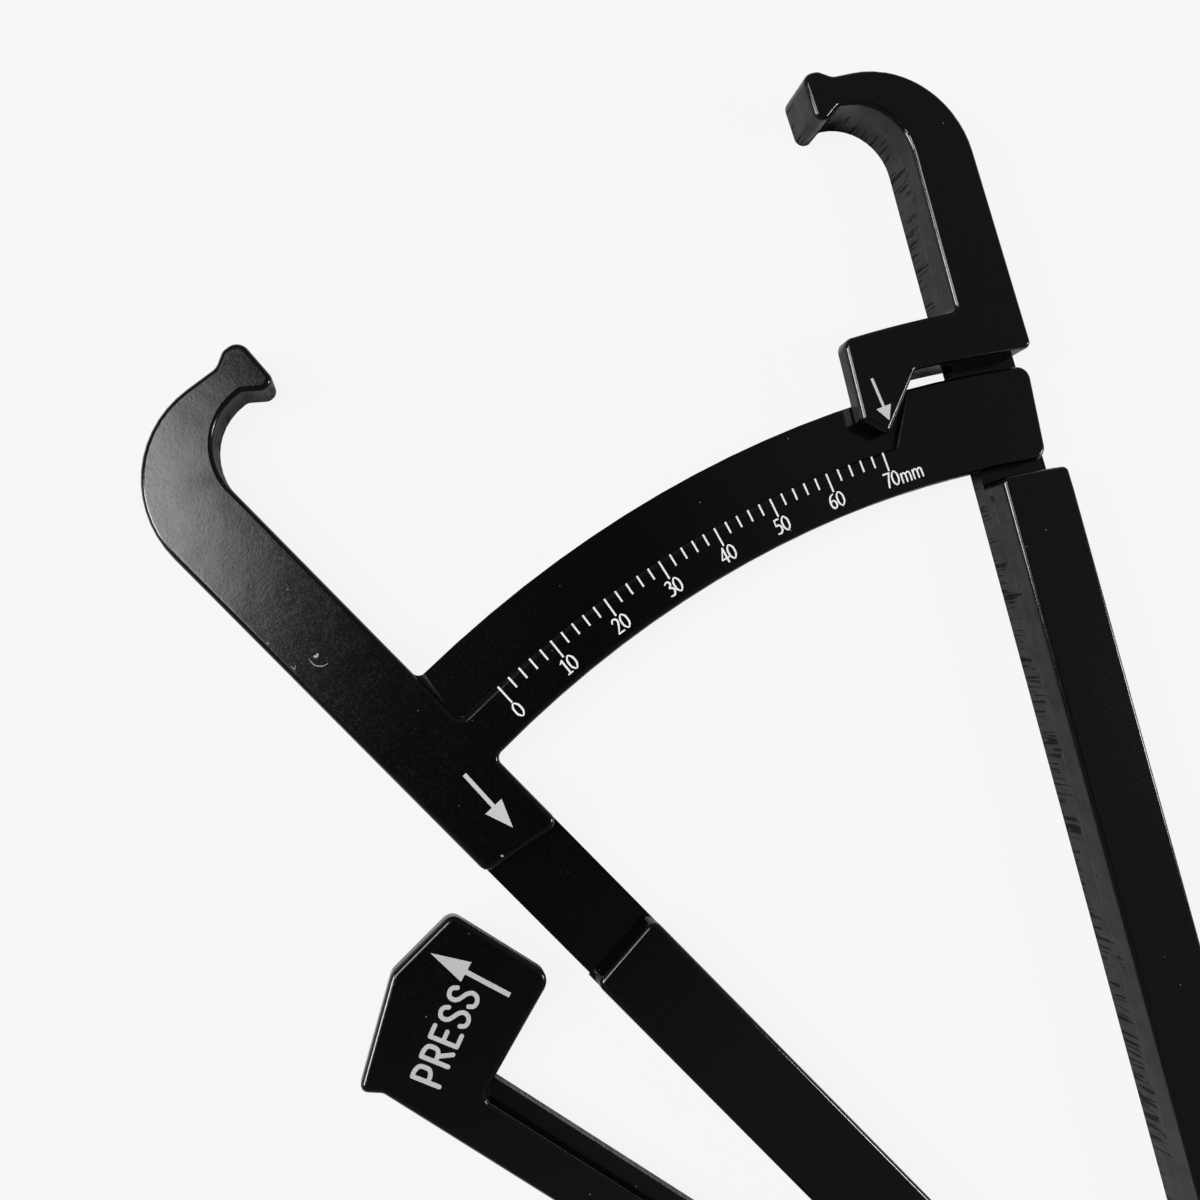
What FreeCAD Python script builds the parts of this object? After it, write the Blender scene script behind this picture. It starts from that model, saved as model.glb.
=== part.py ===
import FreeCAD, Part

import math
import os

import Sketcher
from FreeCAD import Placement, Rotation, Vector

# Skinfold caliper: two moulded arms turn on one pivot, a curved scale rib on one
# arm runs through a slot in the other, and a sprung thumb lever folds in beside
# the scale arm.  Millimetres.  The origin is on the pivot axis in the plane that
# the caliper lies on, +Z is towards the printed front and +Y is the bisector of
# the open jaws.

DIMENSIONS = [
    # both arms
    ("jaw_radius", 174.5, "pivot axis to the middle of the contact pads"),
    ("drawn_span", 71.0, "pad spacing as drawn, just past the last mark"),
    ("pad_inset", 0.05, "pad face to the closing line of the jaws"),
    ("pad_foot", 172.05, "lower end of the jaw tip"),
    ("pad_crown", 178.0, "upper end of the jaw tip"),
    ("jaw_crown", 177.0, "top of the hooked jaw"),
    ("jaw_throat", 173.3, "underside of the hooked jaw"),
    ("jaw_outer", 19.35, "outer side of the pointer arm's jaw at its crown"),
    ("jaw_bend", 12.3, "outer radius of the hook"),
    ("throat_bend", 7.1, "inner radius of the hook"),
    ("inner_root", 1.25, "inner side of an arm from the closing line, at the pivot"),
    ("inner_flare", 0.0585, "rise of the inner side along the arm"),
    ("waist_along", 121.2, "where the pointer arm's outer side changes direction"),
    ("waist_outer", 17.52, "outer side there"),
    ("grip_flare", 0.0571, "rise of the outer side along the grip"),
    ("hub_rad", 12.0, "hub of each arm"),
    ("hub_gap", 0.5, "clearance around a hub in the other arm"),
    ("front_round", 0.6, "rounding of the front edges"),
    ("slot_corner", 0.8, "corners of the pointer arm beside the slot, in plan"),
    # levels above the resting plane
    ("scale_front", 4.6, "front of the scale arm"),
    ("pointer_front", 6.4, "front of the pointer arm"),
    ("neck_front", 2.1, "front of the pointer arm's neck"),
    ("rib_back", 2.4, "back of the scale rib"),
    ("rib_ledge", 3.9, "front of the rib's outer ledge"),
    ("pointer_back", 4.2, "back of the pointer plate"),
    ("lap_back", 3.1, "top of the scale arm's hub"),
    ("lap_front", 3.6, "underside of the pointer arm's hub"),
    # scale rib
    ("rib_inner", 126.85, "inner radius of the scale rib"),
    ("rib_step", 132.3, "radius of the step that the marks start from"),
    ("rib_outer", 138.65, "outer radius of the scale rib"),
    ("rib_root", 4.8, "where the rib leaves the arm, degrees past the closing line"),
    ("stop_lean_low", 22.35, "end stop's pointer side at the step, degrees"),
    ("stop_lean_high", 23.95, "end stop's pointer side at its outer edge, degrees"),
    ("stop_end", 31.0, "far end of the rib, degrees"),
    ("stop_corner", 1.7, "corner radius of the end stop"),
    ("stop_shoulder", 0.8, "its corner on the pointer's side"),
    # pointer arm
    ("slot_low", 125.4, "lower radius of the slot for the rib"),
    ("slot_high", 140.3, "upper radius of the slot for the rib"),
    ("block_top", 146.1, "upper radius of the pointer block"),
    ("block_left", 5.53, "reach of the pointer block past the closing line"),
    ("tip_lead", 3.7, "pointer tip past the closing line"),
    ("tip_radius", 133.9, "radius of the pointer tip"),
    # recess of the scale arm
    ("recess_floor", 2.3, "front of the arm inside the recess"),
    ("recess_inset", 0.2, "how far the recess stands in at the outer side"),
    ("recess_top_inner", 116.5, "upper end of the recess, inner side"),
    ("recess_top_outer", 118.1, "upper end of the recess, outer side"),
    ("recess_foot_inner", 102.1, "lower end of the recess, inner side"),
    ("recess_foot_outer", 101.3, "lower end of the recess, outer side"),
    ("recess_corner", 1.2, "corners beside the recess, in plan"),
    ("rib_root_round", 0.9, "corners where the rib leaves the arm"),
    # thumb lever
    ("hinge_across", 21.6, "lever pin from the closing line"),
    ("hinge_along", 49.6, "lever pin along the scale arm"),
    ("ear_rad", 5.6, "ear that carries the lever pin"),
    ("ear_front", 2.2, "front of the ear"),
    ("stop_gap", 0.15, "clearance of the lever from its rest stop"),
    ("stop_width", 2.6, "width of the rest stop"),
    ("stop_reach", 11.0, "reach of the rest stop from the pin"),
    ("lever_hub", 4.9, "hub of the lever"),
    ("lever_front", 4.6, "front of the lever"),
    ("tab_back", 2.6, "back of the press tab, the stem and the hub"),
    ("lever_round", 0.6, "rounding of the lever's edges"),
    ("beam_lean", 14.34, "lean of the lever away from the arm, degrees"),
    ("beam_back", 0.5, "back of the lever's lower flange"),
    ("beam_front", 2.9, "front of the lever's lower flange"),
    ("beam_start", 6.6, "where the lower flange starts, from the pin"),
    ("beam_end", 55.0, "where the lower flange ends"),
    ("beam_inner", 4.1, "flange from the pin's line, on the arm's side"),
    ("stem_inner", 2.1, "stem from the pin's line, on the arm's side"),
    ("stem_outer", 2.6, "stem from the pin's line, on the thumb's side"),
    ("boss_rad", 2.7, "boss inside the spring"),
    ("boss_front", 8.85, "top of that boss"),
    ("pin_rad", 1.5, "lever pin"),
    ("pin_bore", 1.55, "bore of the lever on its pin"),
    ("pin_front", 9.8, "top of the lever pin"),
    ("clip_back", 8.9, "underside of the retaining ring"),
    ("clip_thick", 0.5, "retaining ring"),
    ("clip_seat", 1.1, "pin radius in the ring's groove"),
    ("clip_rad", 3.2, "outer radius of the retaining ring"),
    # spring of the lever
    ("wire_rad", 0.6, "spring wire"),
    ("coil_rad", 3.75, "middle of the wire from the spring's axis"),
    ("coil_pitch", 1.3, "rise of the spring per turn"),
    ("coil_start", 5.85, "middle of the wire where the coil starts"),
    ("leg_length", 14.2, "straight legs of the spring"),
    ("peg_rad", 1.2, "pegs that the spring's legs bear on"),
    ("peg_reach", 12.45, "pegs from the lever pin"),
    ("peg_gap", 0.1, "clearance between a leg and its peg"),
    ("arm_peg_turn", 42.4, "direction of the arm's peg, degrees"),
    ("arm_peg_front", 6.8, "top of the arm's peg"),
    ("lever_peg_turn", 108.0, "direction of the lever's peg, degrees"),
    ("lever_peg_front", 9.3, "top of the lever's peg"),
    # main pivot
    ("barrel_rad", 3.0, "barrel that both hubs turn on"),
    ("bore_rad", 3.05, "bore of both hubs"),
    ("barrel_head", 5.5, "head of the barrel"),
    ("counterbore", 5.6, "counterbore for the barrel's head"),
    ("barrel_head_thick", 1.2, "thickness of the barrel's head"),
    ("barrel_front", 7.0, "top of the barrel"),
    ("thread_rad", 1.5, "threaded hole of the barrel"),
    ("thread_floor", 1.8, "floor of that hole"),
    ("screw_rad", 1.45, "shank of the pivot screw"),
    ("screw_reach", 2.6, "lower end of the pivot screw"),
    ("screw_head", 5.0, "head of the pivot screw"),
    ("screw_head_thick", 1.1, "thickness of the screw head"),
    ("screw_socket", 3.0, "hexagon socket across its flats"),
    ("socket_depth", 0.8, "depth of the hexagon socket"),
    ("spacer_rad", 9.5, "outer radius of the spacer"),
    ("spacer_thick", 0.45, "plastic spacer between the hubs"),
    ("ring_rad", 9.6, "raised ring around the pivot"),
    ("ring_front", 8.6, "top of the raised ring"),
    ("well_rad", 7.2, "well for the screw head"),
    ("well_floor", 5.9, "floor of the well"),
    ("washer_rad", 5.8, "flat washer and spring washer"),
    ("washer_bore", 3.15, "bore of both washers"),
    ("washer_thick", 0.5, "flat washer"),
    ("washer_back", 6.5, "underside of the flat washer"),
    ("spring_sheet", 0.25, "sheet of the spring washer"),
    ("spring_bend", 48.0, "bend radius of the spring washer"),
    ("cap_rad", 8.4, "cap over the well"),
    ("cap_thick", 0.9, "thickness of the cap"),
    ("cap_round", 0.5, "rounding of the cap's rim"),
    ("skirt_rad", 7.15, "skirt of the cap, inside the well"),
    ("skirt_bore", 6.2, "bore of the cap's skirt"),
    ("skirt_back", 7.5, "lower end of the cap's skirt"),
]

doc = FreeCAD.newDocument("SkinfoldCaliper")
sheet = doc.addObject("Spreadsheet::Sheet", "Dims")
for row, (alias, value, meaning) in enumerate(DIMENSIONS, start=1):
    sheet.set(f"A{row}", meaning)
    sheet.set(f"B{row}", str(value))
    sheet.setAlias(f"B{row}", alias)
doc.recompute()


def size(alias):
    """A driving dimension, read from the sheet."""
    return float(sheet.get(alias))


def inner_side(along):
    """Inner side of an arm, measured from the closing line."""
    return size("inner_root") + size("inner_flare") * along


def outer_side(along):
    """Outer side of a grip, which the scale arm carries on straight to its jaw."""
    return size("waist_outer") - size("grip_flare") * (size("waist_along") - along)


def beside_block(along):
    """Outer side of the pointer arm above its waist."""
    share = (along - size("waist_along")) / (size("jaw_crown") - size("waist_along"))
    return size("waist_outer") + share * (size("jaw_outer") - size("waist_outer"))


def meet(radius, side):
    """Point where a side of an arm crosses a circle about the pivot."""
    along = radius
    for _ in range(6):
        along = math.sqrt(radius**2 - side(along)**2)
    return (side(along), along)


def polar(radius, degrees):
    """Point at a radius from the pivot, degrees clockwise from the closing line."""
    turn = math.radians(degrees)
    return (radius * math.sin(turn), radius * math.cos(turn))


def across_at(radius, across):
    """Point on a circle about the pivot at a distance from the closing line."""
    return (across, math.sqrt(radius**2 - across**2))


def from_pin(reach, degrees):
    """Point of the scale arm's drawing at a reach and direction from the lever pin."""
    turn = math.radians(degrees)
    return (reach * math.cos(turn) - size("hinge_across"),
            reach * math.sin(turn) + size("hinge_along"))


def along_beam(reach, towards_arm):
    """Corner of the lever, by its distance along the beam and to the arm's side."""
    lean = math.radians(size("beam_lean"))
    return (size("hinge_across") + reach * math.sin(lean) - towards_arm * math.cos(lean),
            size("hinge_along") + reach * math.cos(lean) + towards_arm * math.sin(lean))


def in_line(first, second, past):
    """Point a distance past the second of two points, in line with them."""
    run = Vector(second[0] - first[0], second[1] - first[1], 0).normalize() * past
    return (second[0] + run.x, second[1] + run.y)


def mirrored(corners):
    """The same straight-sided outline on the other side of the closing line."""
    return [(-across, along, rounding) for across, along, rounding in reversed(corners)]


class Side:
    """One side of an outline: a straight line or an arc about the pivot."""

    def __init__(self, start, end, arc):
        self.start = start
        self.end = end
        self.arc = arc
        self.sense = 1 if start.cross(end).z > 0 else -1

    def heading(self, point):
        """Direction of travel at a point of the side."""
        if self.arc:
            return Vector(-point.y, point.x, 0).normalize() * self.sense
        return (self.end - self.start).normalize()

    def nearest(self, point):
        """Point of the side that is closest to another point."""
        if self.arc:
            return Vector(point).normalize() * self.start.Length
        heading = self.heading(point)
        return self.start + heading * (point - self.start).dot(heading)

    def edge(self, first, last):
        """The stretch of the side between two of its points."""
        if self.arc:
            return Part.Arc(first, (first + last).normalize() * self.start.Length, last)
        return Part.LineSegment(first, last)


def left_of(heading):
    """Unit vector to the left of a heading."""
    return Vector(-heading.y, heading.x, 0)


def rounding_centre(before, after, radius):
    """Centre of the arc that rounds the corner between two sides."""
    centre = after.start
    turn = before.heading(centre).cross(after.heading(centre)).z
    offset = math.copysign(radius, turn)
    for _ in range(8):
        foot, other = before.nearest(centre), after.nearest(centre)
        heading, side = before.heading(foot), left_of(after.heading(other))
        base = foot + left_of(heading) * offset
        centre = base + heading * ((offset - (base - other).dot(side)) / heading.dot(side))
    return centre


def outline_edges(corners):
    """Edges of a closed outline.

    A corner is (x, y, rounding), or (x, y, rounding, "arc") where the side that
    follows it is an arc about the pivot.
    """
    points = [Vector(corner[0], corner[1], 0) for corner in corners]
    sides = [Side(point, following, len(corner) > 3)
             for point, following, corner in zip(points, points[1:] + points[:1], corners)]
    starts, ends, roundings = [], [], []
    for index, corner in enumerate(corners):
        before, after, radius = sides[index - 1], sides[index], corner[2]
        if radius == 0:
            starts.append(points[index])
            ends.append(points[index])
            roundings.append(None)
            continue
        centre = rounding_centre(before, after, radius)
        first, last = before.nearest(centre), after.nearest(centre)
        middle = centre + (points[index] - centre).normalize() * radius
        roundings.append(Part.Arc(first, middle, last))
        ends.append(first)
        starts.append(last)
    edges = []
    for index, side in enumerate(sides):
        if roundings[index] is not None:
            edges.append(roundings[index])
        end = ends[(index + 1) % len(sides)]
        if (end - starts[index]).Length > 1e-6:
            edges.append(side.edge(starts[index], end))
    return edges


def origin_plane(body, role):
    """One of the origin planes of a body."""
    return next(f for f in body.Origin.OriginFeatures if f.Role == role)


def sketch_on(body, name, level):
    """Empty sketch parallel to the XY plane at a level held in the sheet."""
    sketch = body.newObject("Sketcher::SketchObject", name)
    sketch.AttachmentSupport = [(origin_plane(body, "XY_Plane"), "")]
    sketch.MapMode = "FlatFace"
    if level:
        sketch.setExpression("AttachmentOffset.Base.z", level)
    return sketch


def draw_outline(sketch, corners):
    """Draw a closed outline and join its ends."""
    edges = outline_edges(corners)
    for edge in edges:
        sketch.addGeometry(edge, False)
    count = len(edges)
    for index in range(count):
        following = (index + 1) % count
        pair = [(end, start)
                for end in (1, 2) for start in (1, 2)
                if (sketch.getPoint(index, end)
                    - sketch.getPoint(following, start)).Length < 1e-6]
        end, start = pair[0]
        sketch.addConstraint(Sketcher.Constraint("Coincident", index, end, following, start))
        sketch.addConstraint(Sketcher.Constraint("Block", index))


def draw_circle(sketch, radius_cell, across=0.0, along=0.0):
    """Draw a circle whose radius is bound to a cell."""
    circle = Part.Circle(Vector(across, along, 0), Vector(0, 0, 1), size(radius_cell))
    index = sketch.addGeometry(circle, False)
    for axis, value in (("DistanceX", across), ("DistanceY", along)):
        sketch.addConstraint(Sketcher.Constraint(axis, -1, 1, index, 3, value))
    number = sketch.addConstraint(Sketcher.Constraint("Radius", index, size(radius_cell)))
    sketch.setExpression(f"Constraints[{number}]", f"Dims.{radius_cell}")


def draw_lap(sketch):
    """Draw the circle that leaves room for the other arm's hub."""
    radius = size("hub_rad") + size("hub_gap")
    index = sketch.addGeometry(Part.Circle(Vector(0, 0, 0), Vector(0, 0, 1), radius), False)
    sketch.addConstraint(Sketcher.Constraint("Coincident", -1, 1, index, 3))
    number = sketch.addConstraint(Sketcher.Constraint("Radius", index, radius))
    sketch.setExpression(f"Constraints[{number}]", "Dims.hub_rad + Dims.hub_gap")


def pad(body, name, draw, level, height):
    """Pad of a sketch from one level of the sheet by a height expression."""
    sketch = sketch_on(body, name + "Sketch", level)
    draw(sketch)
    feature = body.newObject("PartDesign::Pad", name)
    feature.Profile = sketch
    feature.setExpression("Length", height)
    doc.recompute()
    return feature


def pocket(body, name, draw, level, depth=None, upward=False):
    """Pocket of a sketch, downwards from its level unless it is turned upward."""
    before = body.Shape.Volume
    sketch = sketch_on(body, name + "Sketch", level)
    draw(sketch)
    feature = body.newObject("PartDesign::Pocket", name)
    feature.Profile = sketch
    feature.Reversed = upward
    if depth:
        feature.setExpression("Length", depth)
    else:
        feature.Type = "ThroughAll"
    doc.recompute()
    if body.Shape.Volume > before - 0.01:
        raise RuntimeError(f"{body.Label}: {name} cuts nothing")
    return feature


def dress_up(body, kind, name, wanted, **sizes):
    """Fillet or chamfer the edges of a body that a test picks out."""
    base = body.Tip
    names = [f"Edge{number}" for number, edge in enumerate(base.Shape.Edges, start=1)
             if wanted(edge)]
    feature = body.newObject("PartDesign::" + kind, name)
    feature.Base = (base, names)
    for prop, cell in sizes.items():
        feature.setExpression(prop, f"Dims.{cell}")
    doc.recompute()
    return feature


def flat_at(edge, level):
    """Whether an edge lies wholly at a level."""
    box = edge.BoundBox
    return abs(box.ZMin - level) < 1e-4 and abs(box.ZMax - level) < 1e-4


def upright_near(edge, corners, lowest):
    """Whether an edge stands upright above a level and close to a listed corner."""
    box = edge.BoundBox
    if max(box.XLength, box.YLength) > 1e-4 or box.ZMin < lowest - 1e-4:
        return False
    return any(math.hypot(box.XMin - x, box.YMin - y) < 0.1 for x, y in corners)


def new_body(label):
    """Body of one sub-part."""
    body = doc.addObject("PartDesign::Body", "Body_" + label)
    body.Label = label
    return body


def turn_about_pivot(feature, sign):
    """Swing an arm away from the bisector by half the opening of the jaws."""
    feature.setExpression(
        "Placement.Rotation.Angle",
        f"{sign} * asin(Dims.drawn_span / (2 * Dims.jaw_radius))")


# ---------------------------------------------------------------- arm outlines

ARM_ROOT = 5.0          # where the straight sides end inside the hub


def arm_corners(hook):
    """Outline of an arm to the right of the closing line, with the hook's own corners."""
    throat = size("jaw_throat")
    crown = size("jaw_crown")
    pad_face = size("pad_inset")
    return [
        (inner_side(ARM_ROOT), ARM_ROOT, 0),
        (inner_side(throat), throat, size("throat_bend")),
        (pad_face + 3.4, throat, 1.2),
        (pad_face + 1.55, size("pad_foot"), 1.0),
        (pad_face, size("pad_foot"), 1.1),
        (pad_face, size("pad_crown"), 1.4),
        (pad_face + 2.2, size("pad_crown"), 1.0),
        (pad_face + 3.85, crown, 1.6),
        *hook,
        (outer_side(ARM_ROOT), ARM_ROOT, 0),
    ]


# ------------------------------------------------------------------ scale arm

def scale_arm():
    """Left arm with its hub, the scale rib, the recess and the lever's ear."""
    body = new_body("scale_arm")
    hook = [(outer_side(size("jaw_crown")), size("jaw_crown"), size("jaw_bend"))]
    pad(body, "Arm", lambda s: draw_outline(s, mirrored(arm_corners(hook))), None,
        "Dims.scale_front")
    pad(body, "Hub", lambda s: draw_circle(s, "hub_rad"), None, "Dims.lap_back")

    # recess that the press tab folds into
    top_in = (inner_side(size("recess_top_inner")), size("recess_top_inner"))
    top_out = (outer_side(size("recess_top_outer")), size("recess_top_outer"))
    foot_in = (inner_side(size("recess_foot_inner")), size("recess_foot_inner"))
    foot_out = (outer_side(size("recess_foot_outer")), size("recess_foot_outer"))
    recess = [(*in_line(foot_out, foot_in, 3), 0), (*in_line(top_out, top_in, 3), 0),
              (*in_line(top_in, top_out, 3), 0), (*in_line(foot_in, foot_out, 3), 0)]
    pocket(body, "Recess", lambda s: draw_outline(s, mirrored(recess)), "Dims.scale_front",
           "Dims.scale_front - Dims.recess_floor")

    # scale rib: a low ledge outside the raised band that carries the marks, and the
    # end stop where the band takes the whole width
    inner, step, outer = size("rib_inner"), size("rib_step"), size("rib_outer")
    root, end = -size("rib_root"), size("stop_end")
    low, high = size("stop_lean_low"), size("stop_lean_high")
    ledge = [
        (*polar(inner, root), 0), (*polar(outer, root), 0, "arc"),
        (*polar(outer, high), 0), (*polar(inner, high), 0, "arc"),
    ]
    pad(body, "Ledge", lambda s: draw_outline(s, ledge), "Dims.rib_back",
        "Dims.rib_ledge - Dims.rib_back")
    band = [
        (*polar(inner, root), 0), (*polar(step, root), 0, "arc"), (*polar(step, low), 0.3),
        (*polar(outer, high), size("stop_shoulder"), "arc"),
        (*polar(outer, end), size("stop_corner")),
        (*polar(inner, end), size("stop_corner"), "arc"),
    ]
    pad(body, "Band", lambda s: draw_outline(s, band), "Dims.rib_back",
        "Dims.scale_front - Dims.rib_back")

    # soft corners of the moulding
    ends = [(-across, along) for across, along in (top_in, top_out, foot_in, foot_out)]
    dress_up(body, "Fillet", "RecessCorners", lambda e: upright_near(e, ends, size("recess_floor")),
             Radius="recess_corner")
    roots = [(-across, along) for across, along in (
        meet(inner, inner_side), meet(outer, inner_side))]
    dress_up(body, "Fillet", "RibRoots", lambda e: upright_near(e, roots, size("rib_back")),
             Radius="rib_root_round")
    across, along = meet(step, inner_side)
    dress_up(body, "Fillet", "StepRoot",
             lambda e: upright_near(e, [(-across, along)], size("rib_ledge")),
             Radius="slot_corner")
    dress_up(body, "Fillet", "FrontRound", lambda e: flat_at(e, size("scale_front")),
             Radius="front_round")

    # floor of the recess, a little narrower than the arm at its outer side
    foot, top, inset = foot_out[1], top_out[1], size("recess_inset")
    strip = [(outer_side(foot) - inset, foot, 0), (outer_side(top) - inset, top, 0),
             (outer_side(top) + 1, top, 0), (outer_side(foot) + 1, foot, 0)]
    pocket(body, "OuterShave", lambda s: draw_outline(s, mirrored(strip)), "Dims.recess_floor")

    # ear that stands out beside the arm and carries the lever pin
    across, along = size("hinge_across"), size("hinge_along")
    reach = size("ear_rad")
    web = [(inner_side(along) + 3, along - 14, 0), (outer_side(along - 14), along - 14, 0),
           (across - 4.9, along - reach, 3.0), (across, along - reach, 0),
           (across, along + reach, 0), (across - 4.9, along + reach, 3.0),
           (outer_side(along + 12), along + 12, 0), (inner_side(along) + 3, along + 12, 0)]
    pad(body, "EarWeb", lambda s: draw_outline(s, mirrored(web)), None, "Dims.ear_front")
    pad(body, "Ear", lambda s: draw_circle(s, "ear_rad", -across, along), None,
        "Dims.ear_front")
    near = -size("stem_outer") - size("stop_gap")
    far = near - size("stop_width")
    stop = [(*along_beam(1.0, near), 0), (*along_beam(1.0, far), 0),
            (*along_beam(size("stop_reach"), far), 1.2),
            (*along_beam(size("stop_reach"), near), 0.5)]
    pad(body, "RestStop", lambda s: draw_outline(s, mirrored(stop)), None,
        "Dims.ear_front")
    pocket(body, "PinHole", lambda s: draw_circle(s, "pin_rad", -across, along),
           "Dims.ear_front")

    # peg for the fixed leg of the spring
    peg = from_pin(size("peg_reach"), size("arm_peg_turn"))
    pad(body, "Peg", lambda s: draw_circle(s, "peg_rad", *peg), "Dims.ear_front",
        "Dims.arm_peg_front - Dims.ear_front")

    # half lap for the pointer arm's hub, barrel bore and its counterbore
    pocket(body, "HalfLap", draw_lap, "Dims.scale_front",
           "Dims.scale_front - Dims.lap_back")
    pocket(body, "Bore", lambda s: draw_circle(s, "bore_rad"), "Dims.scale_front")
    pocket(body, "Counterbore", lambda s: draw_circle(s, "counterbore"), None,
           "Dims.barrel_head_thick", upward=True)
    turn_about_pivot(body, "1")
    return body


# ---------------------------------------------------------------- pointer arm

def pointer_arm():
    """Right arm with its hub, the slot for the rib and the pointer block."""
    body = new_body("pointer_arm")
    hook = [(size("jaw_outer"), size("jaw_crown"), size("jaw_bend")),
            (size("waist_outer"), size("waist_along"), 30.0)]
    pad(body, "Arm", lambda s: draw_outline(s, arm_corners(hook)), None,
        "Dims.pointer_front")
    pad(body, "Hub", lambda s: draw_circle(s, "hub_rad"), "Dims.lap_front",
        "Dims.pointer_front - Dims.lap_front")

    # the front is cut away where the rib passes, which leaves a thin neck
    low, high = size("slot_low"), size("slot_high")
    first, last = 1.0, 12.0
    slot = [
        (*polar(low, first), 0), (*polar(high, first), 0, "arc"),
        (*polar(high, last), 0), (*polar(low, last), 0, "arc"),
    ]
    pocket(body, "RibSlot", lambda s: draw_outline(s, slot), "Dims.pointer_front",
           "Dims.pointer_front - Dims.neck_front")

    # pointer plate in front of the rib, backed by a full block above the rib
    top, tip, left = size("block_top"), size("tip_radius"), size("block_left")
    foot = meet(high, beside_block)
    plate = [
        (*across_at(top, -left), 1.3, "arc"), (*polar(top, 4.7), 0),
        (beside_block(high) - 2.0, high + 3.0, 0), (beside_block(high), high + 2.0, 0),
        (*foot, 1.2, "arc"), (*across_at(high, 2.2), 0.6),
        (-size("tip_lead"), tip, 0.6), (-left - 0.78, tip + 2.35, 0.8),
    ]
    pad(body, "PointerPlate", lambda s: draw_outline(s, plate), "Dims.pointer_back",
        "Dims.pointer_front - Dims.pointer_back")
    block = [
        (*polar(high, 1.35), 0.8), (*polar(top, 1.35), 0, "arc"),
        (*polar(top, 5.0), 0), (*polar(high, 5.0), 0, "arc"),
    ]
    pad(body, "Block", lambda s: draw_outline(s, block), None, "Dims.pointer_front")

    # soft corners and front edges of the moulding
    corners = [meet(low, inner_side), meet(low, beside_block),
               meet(high, beside_block), meet(top, inner_side)]
    dress_up(body, "Fillet", "SlotCorners",
             lambda e: upright_near(e, corners, 0), Radius="slot_corner")
    dress_up(body, "Fillet", "FrontRound", lambda e: flat_at(e, size("pointer_front")),
             Radius="front_round")

    # raised ring with the well for the screw head
    pad(body, "Ring", lambda s: draw_circle(s, "ring_rad"), "Dims.lap_front",
        "Dims.ring_front - Dims.lap_front")

    # half lap for the scale arm's hub
    pocket(body, "HalfLap", draw_lap, None, "Dims.lap_front", upward=True)
    pocket(body, "Well", lambda s: draw_circle(s, "well_rad"), "Dims.ring_front",
           "Dims.ring_front - Dims.well_floor")
    pocket(body, "Bore", lambda s: draw_circle(s, "bore_rad"), "Dims.ring_front")
    turn_about_pivot(body, "-1")
    return body


# ---------------------------------------------------------------- press lever

TAB_APEX = (22.67, 117.49, 1.3)
TAB_SHOULDER = (31.09, 117.14, 2.0)
TAB_THUMB = (41.1, 110.45, 0.8)
TAB_WAIST = (39.45, 108.6, 1.0)
TAB_THROAT = (32.6, 101.0, 1.2)
TAB_NOSE = (19.22, 105.2, 1.7)


def press_lever():
    """Thumb lever: press tab, stem, stiffening flange, hub and the spring's boss."""
    body = new_body("press_lever")
    tab = [
        TAB_APEX, TAB_SHOULDER, TAB_THUMB, TAB_WAIST,
        (*along_beam(0, -size("stem_outer")), 0), (*along_beam(0, size("stem_inner")), 0),
        TAB_THROAT, TAB_NOSE,
    ]
    pad(body, "Tab", lambda s: draw_outline(s, mirrored(tab)), "Dims.tab_back",
        "Dims.lever_front - Dims.tab_back")
    start, end = size("beam_start"), size("beam_end")
    inner, outer = size("beam_inner"), -size("stem_outer")
    flange = [
        (*along_beam(start, inner), 1.5), (*along_beam(start, outer), 0.6),
        (*along_beam(end, outer), 0.6), (*along_beam(end, inner), 1.5),
    ]
    pad(body, "Flange", lambda s: draw_outline(s, mirrored(flange)), "Dims.beam_back",
        "Dims.beam_front - Dims.beam_back")
    pin = (-size("hinge_across"), size("hinge_along"))
    pad(body, "Hub", lambda s: draw_circle(s, "lever_hub", *pin), "Dims.tab_back",
        "Dims.lever_front - Dims.tab_back")
    dress_up(body, "Fillet", "FrontRound", lambda e: flat_at(e, size("lever_front")),
             Radius="lever_round")
    dress_up(body, "Fillet", "BackRound", lambda e: flat_at(e, size("beam_back")),
             Radius="lever_round")
    pad(body, "Boss", lambda s: draw_circle(s, "boss_rad", *pin), "Dims.tab_back",
        "Dims.boss_front - Dims.tab_back")
    peg = from_pin(size("peg_reach"), size("lever_peg_turn"))
    pad(body, "Peg", lambda s: draw_circle(s, "peg_rad", *peg), "Dims.tab_back",
        "Dims.lever_peg_front - Dims.tab_back")
    pocket(body, "PinBore", lambda s: draw_circle(s, "pin_bore", *pin), "Dims.boss_front")
    turn_about_pivot(body, "1")
    return body


# ------------------------------------------------------------- turned hardware

def softened(feature, name, radius_cell, level):
    """Round a turned piece's edges at a level."""
    doc.recompute()
    radius = size(radius_cell)
    fillet = doc.addObject("Part::Fillet", name)
    fillet.Base = feature
    fillet.Edges = [(number, radius, radius)
                    for number, edge in enumerate(feature.Shape.Edges, start=1)
                    if flat_at(edge, level)]
    return fillet


def cylinder(name, radius, height, level=None):
    """Cylinder on the pivot axis with its sizes bound to the sheet."""
    solid = doc.addObject("Part::Cylinder", name)
    solid.setExpression("Radius", radius)
    solid.setExpression("Height", height)
    if level:
        solid.setExpression("Placement.Base.z", level)
    return solid


def joined(kind, name, first, second):
    """Fuse, cut or common of two objects."""
    result = doc.addObject("Part::" + kind, name)
    result.Base = first
    result.Tool = second
    return result


def as_node(feature, label):
    """Give a finished feature its sub-part label."""
    doc.recompute()
    feature.Label = label
    return feature


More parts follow.
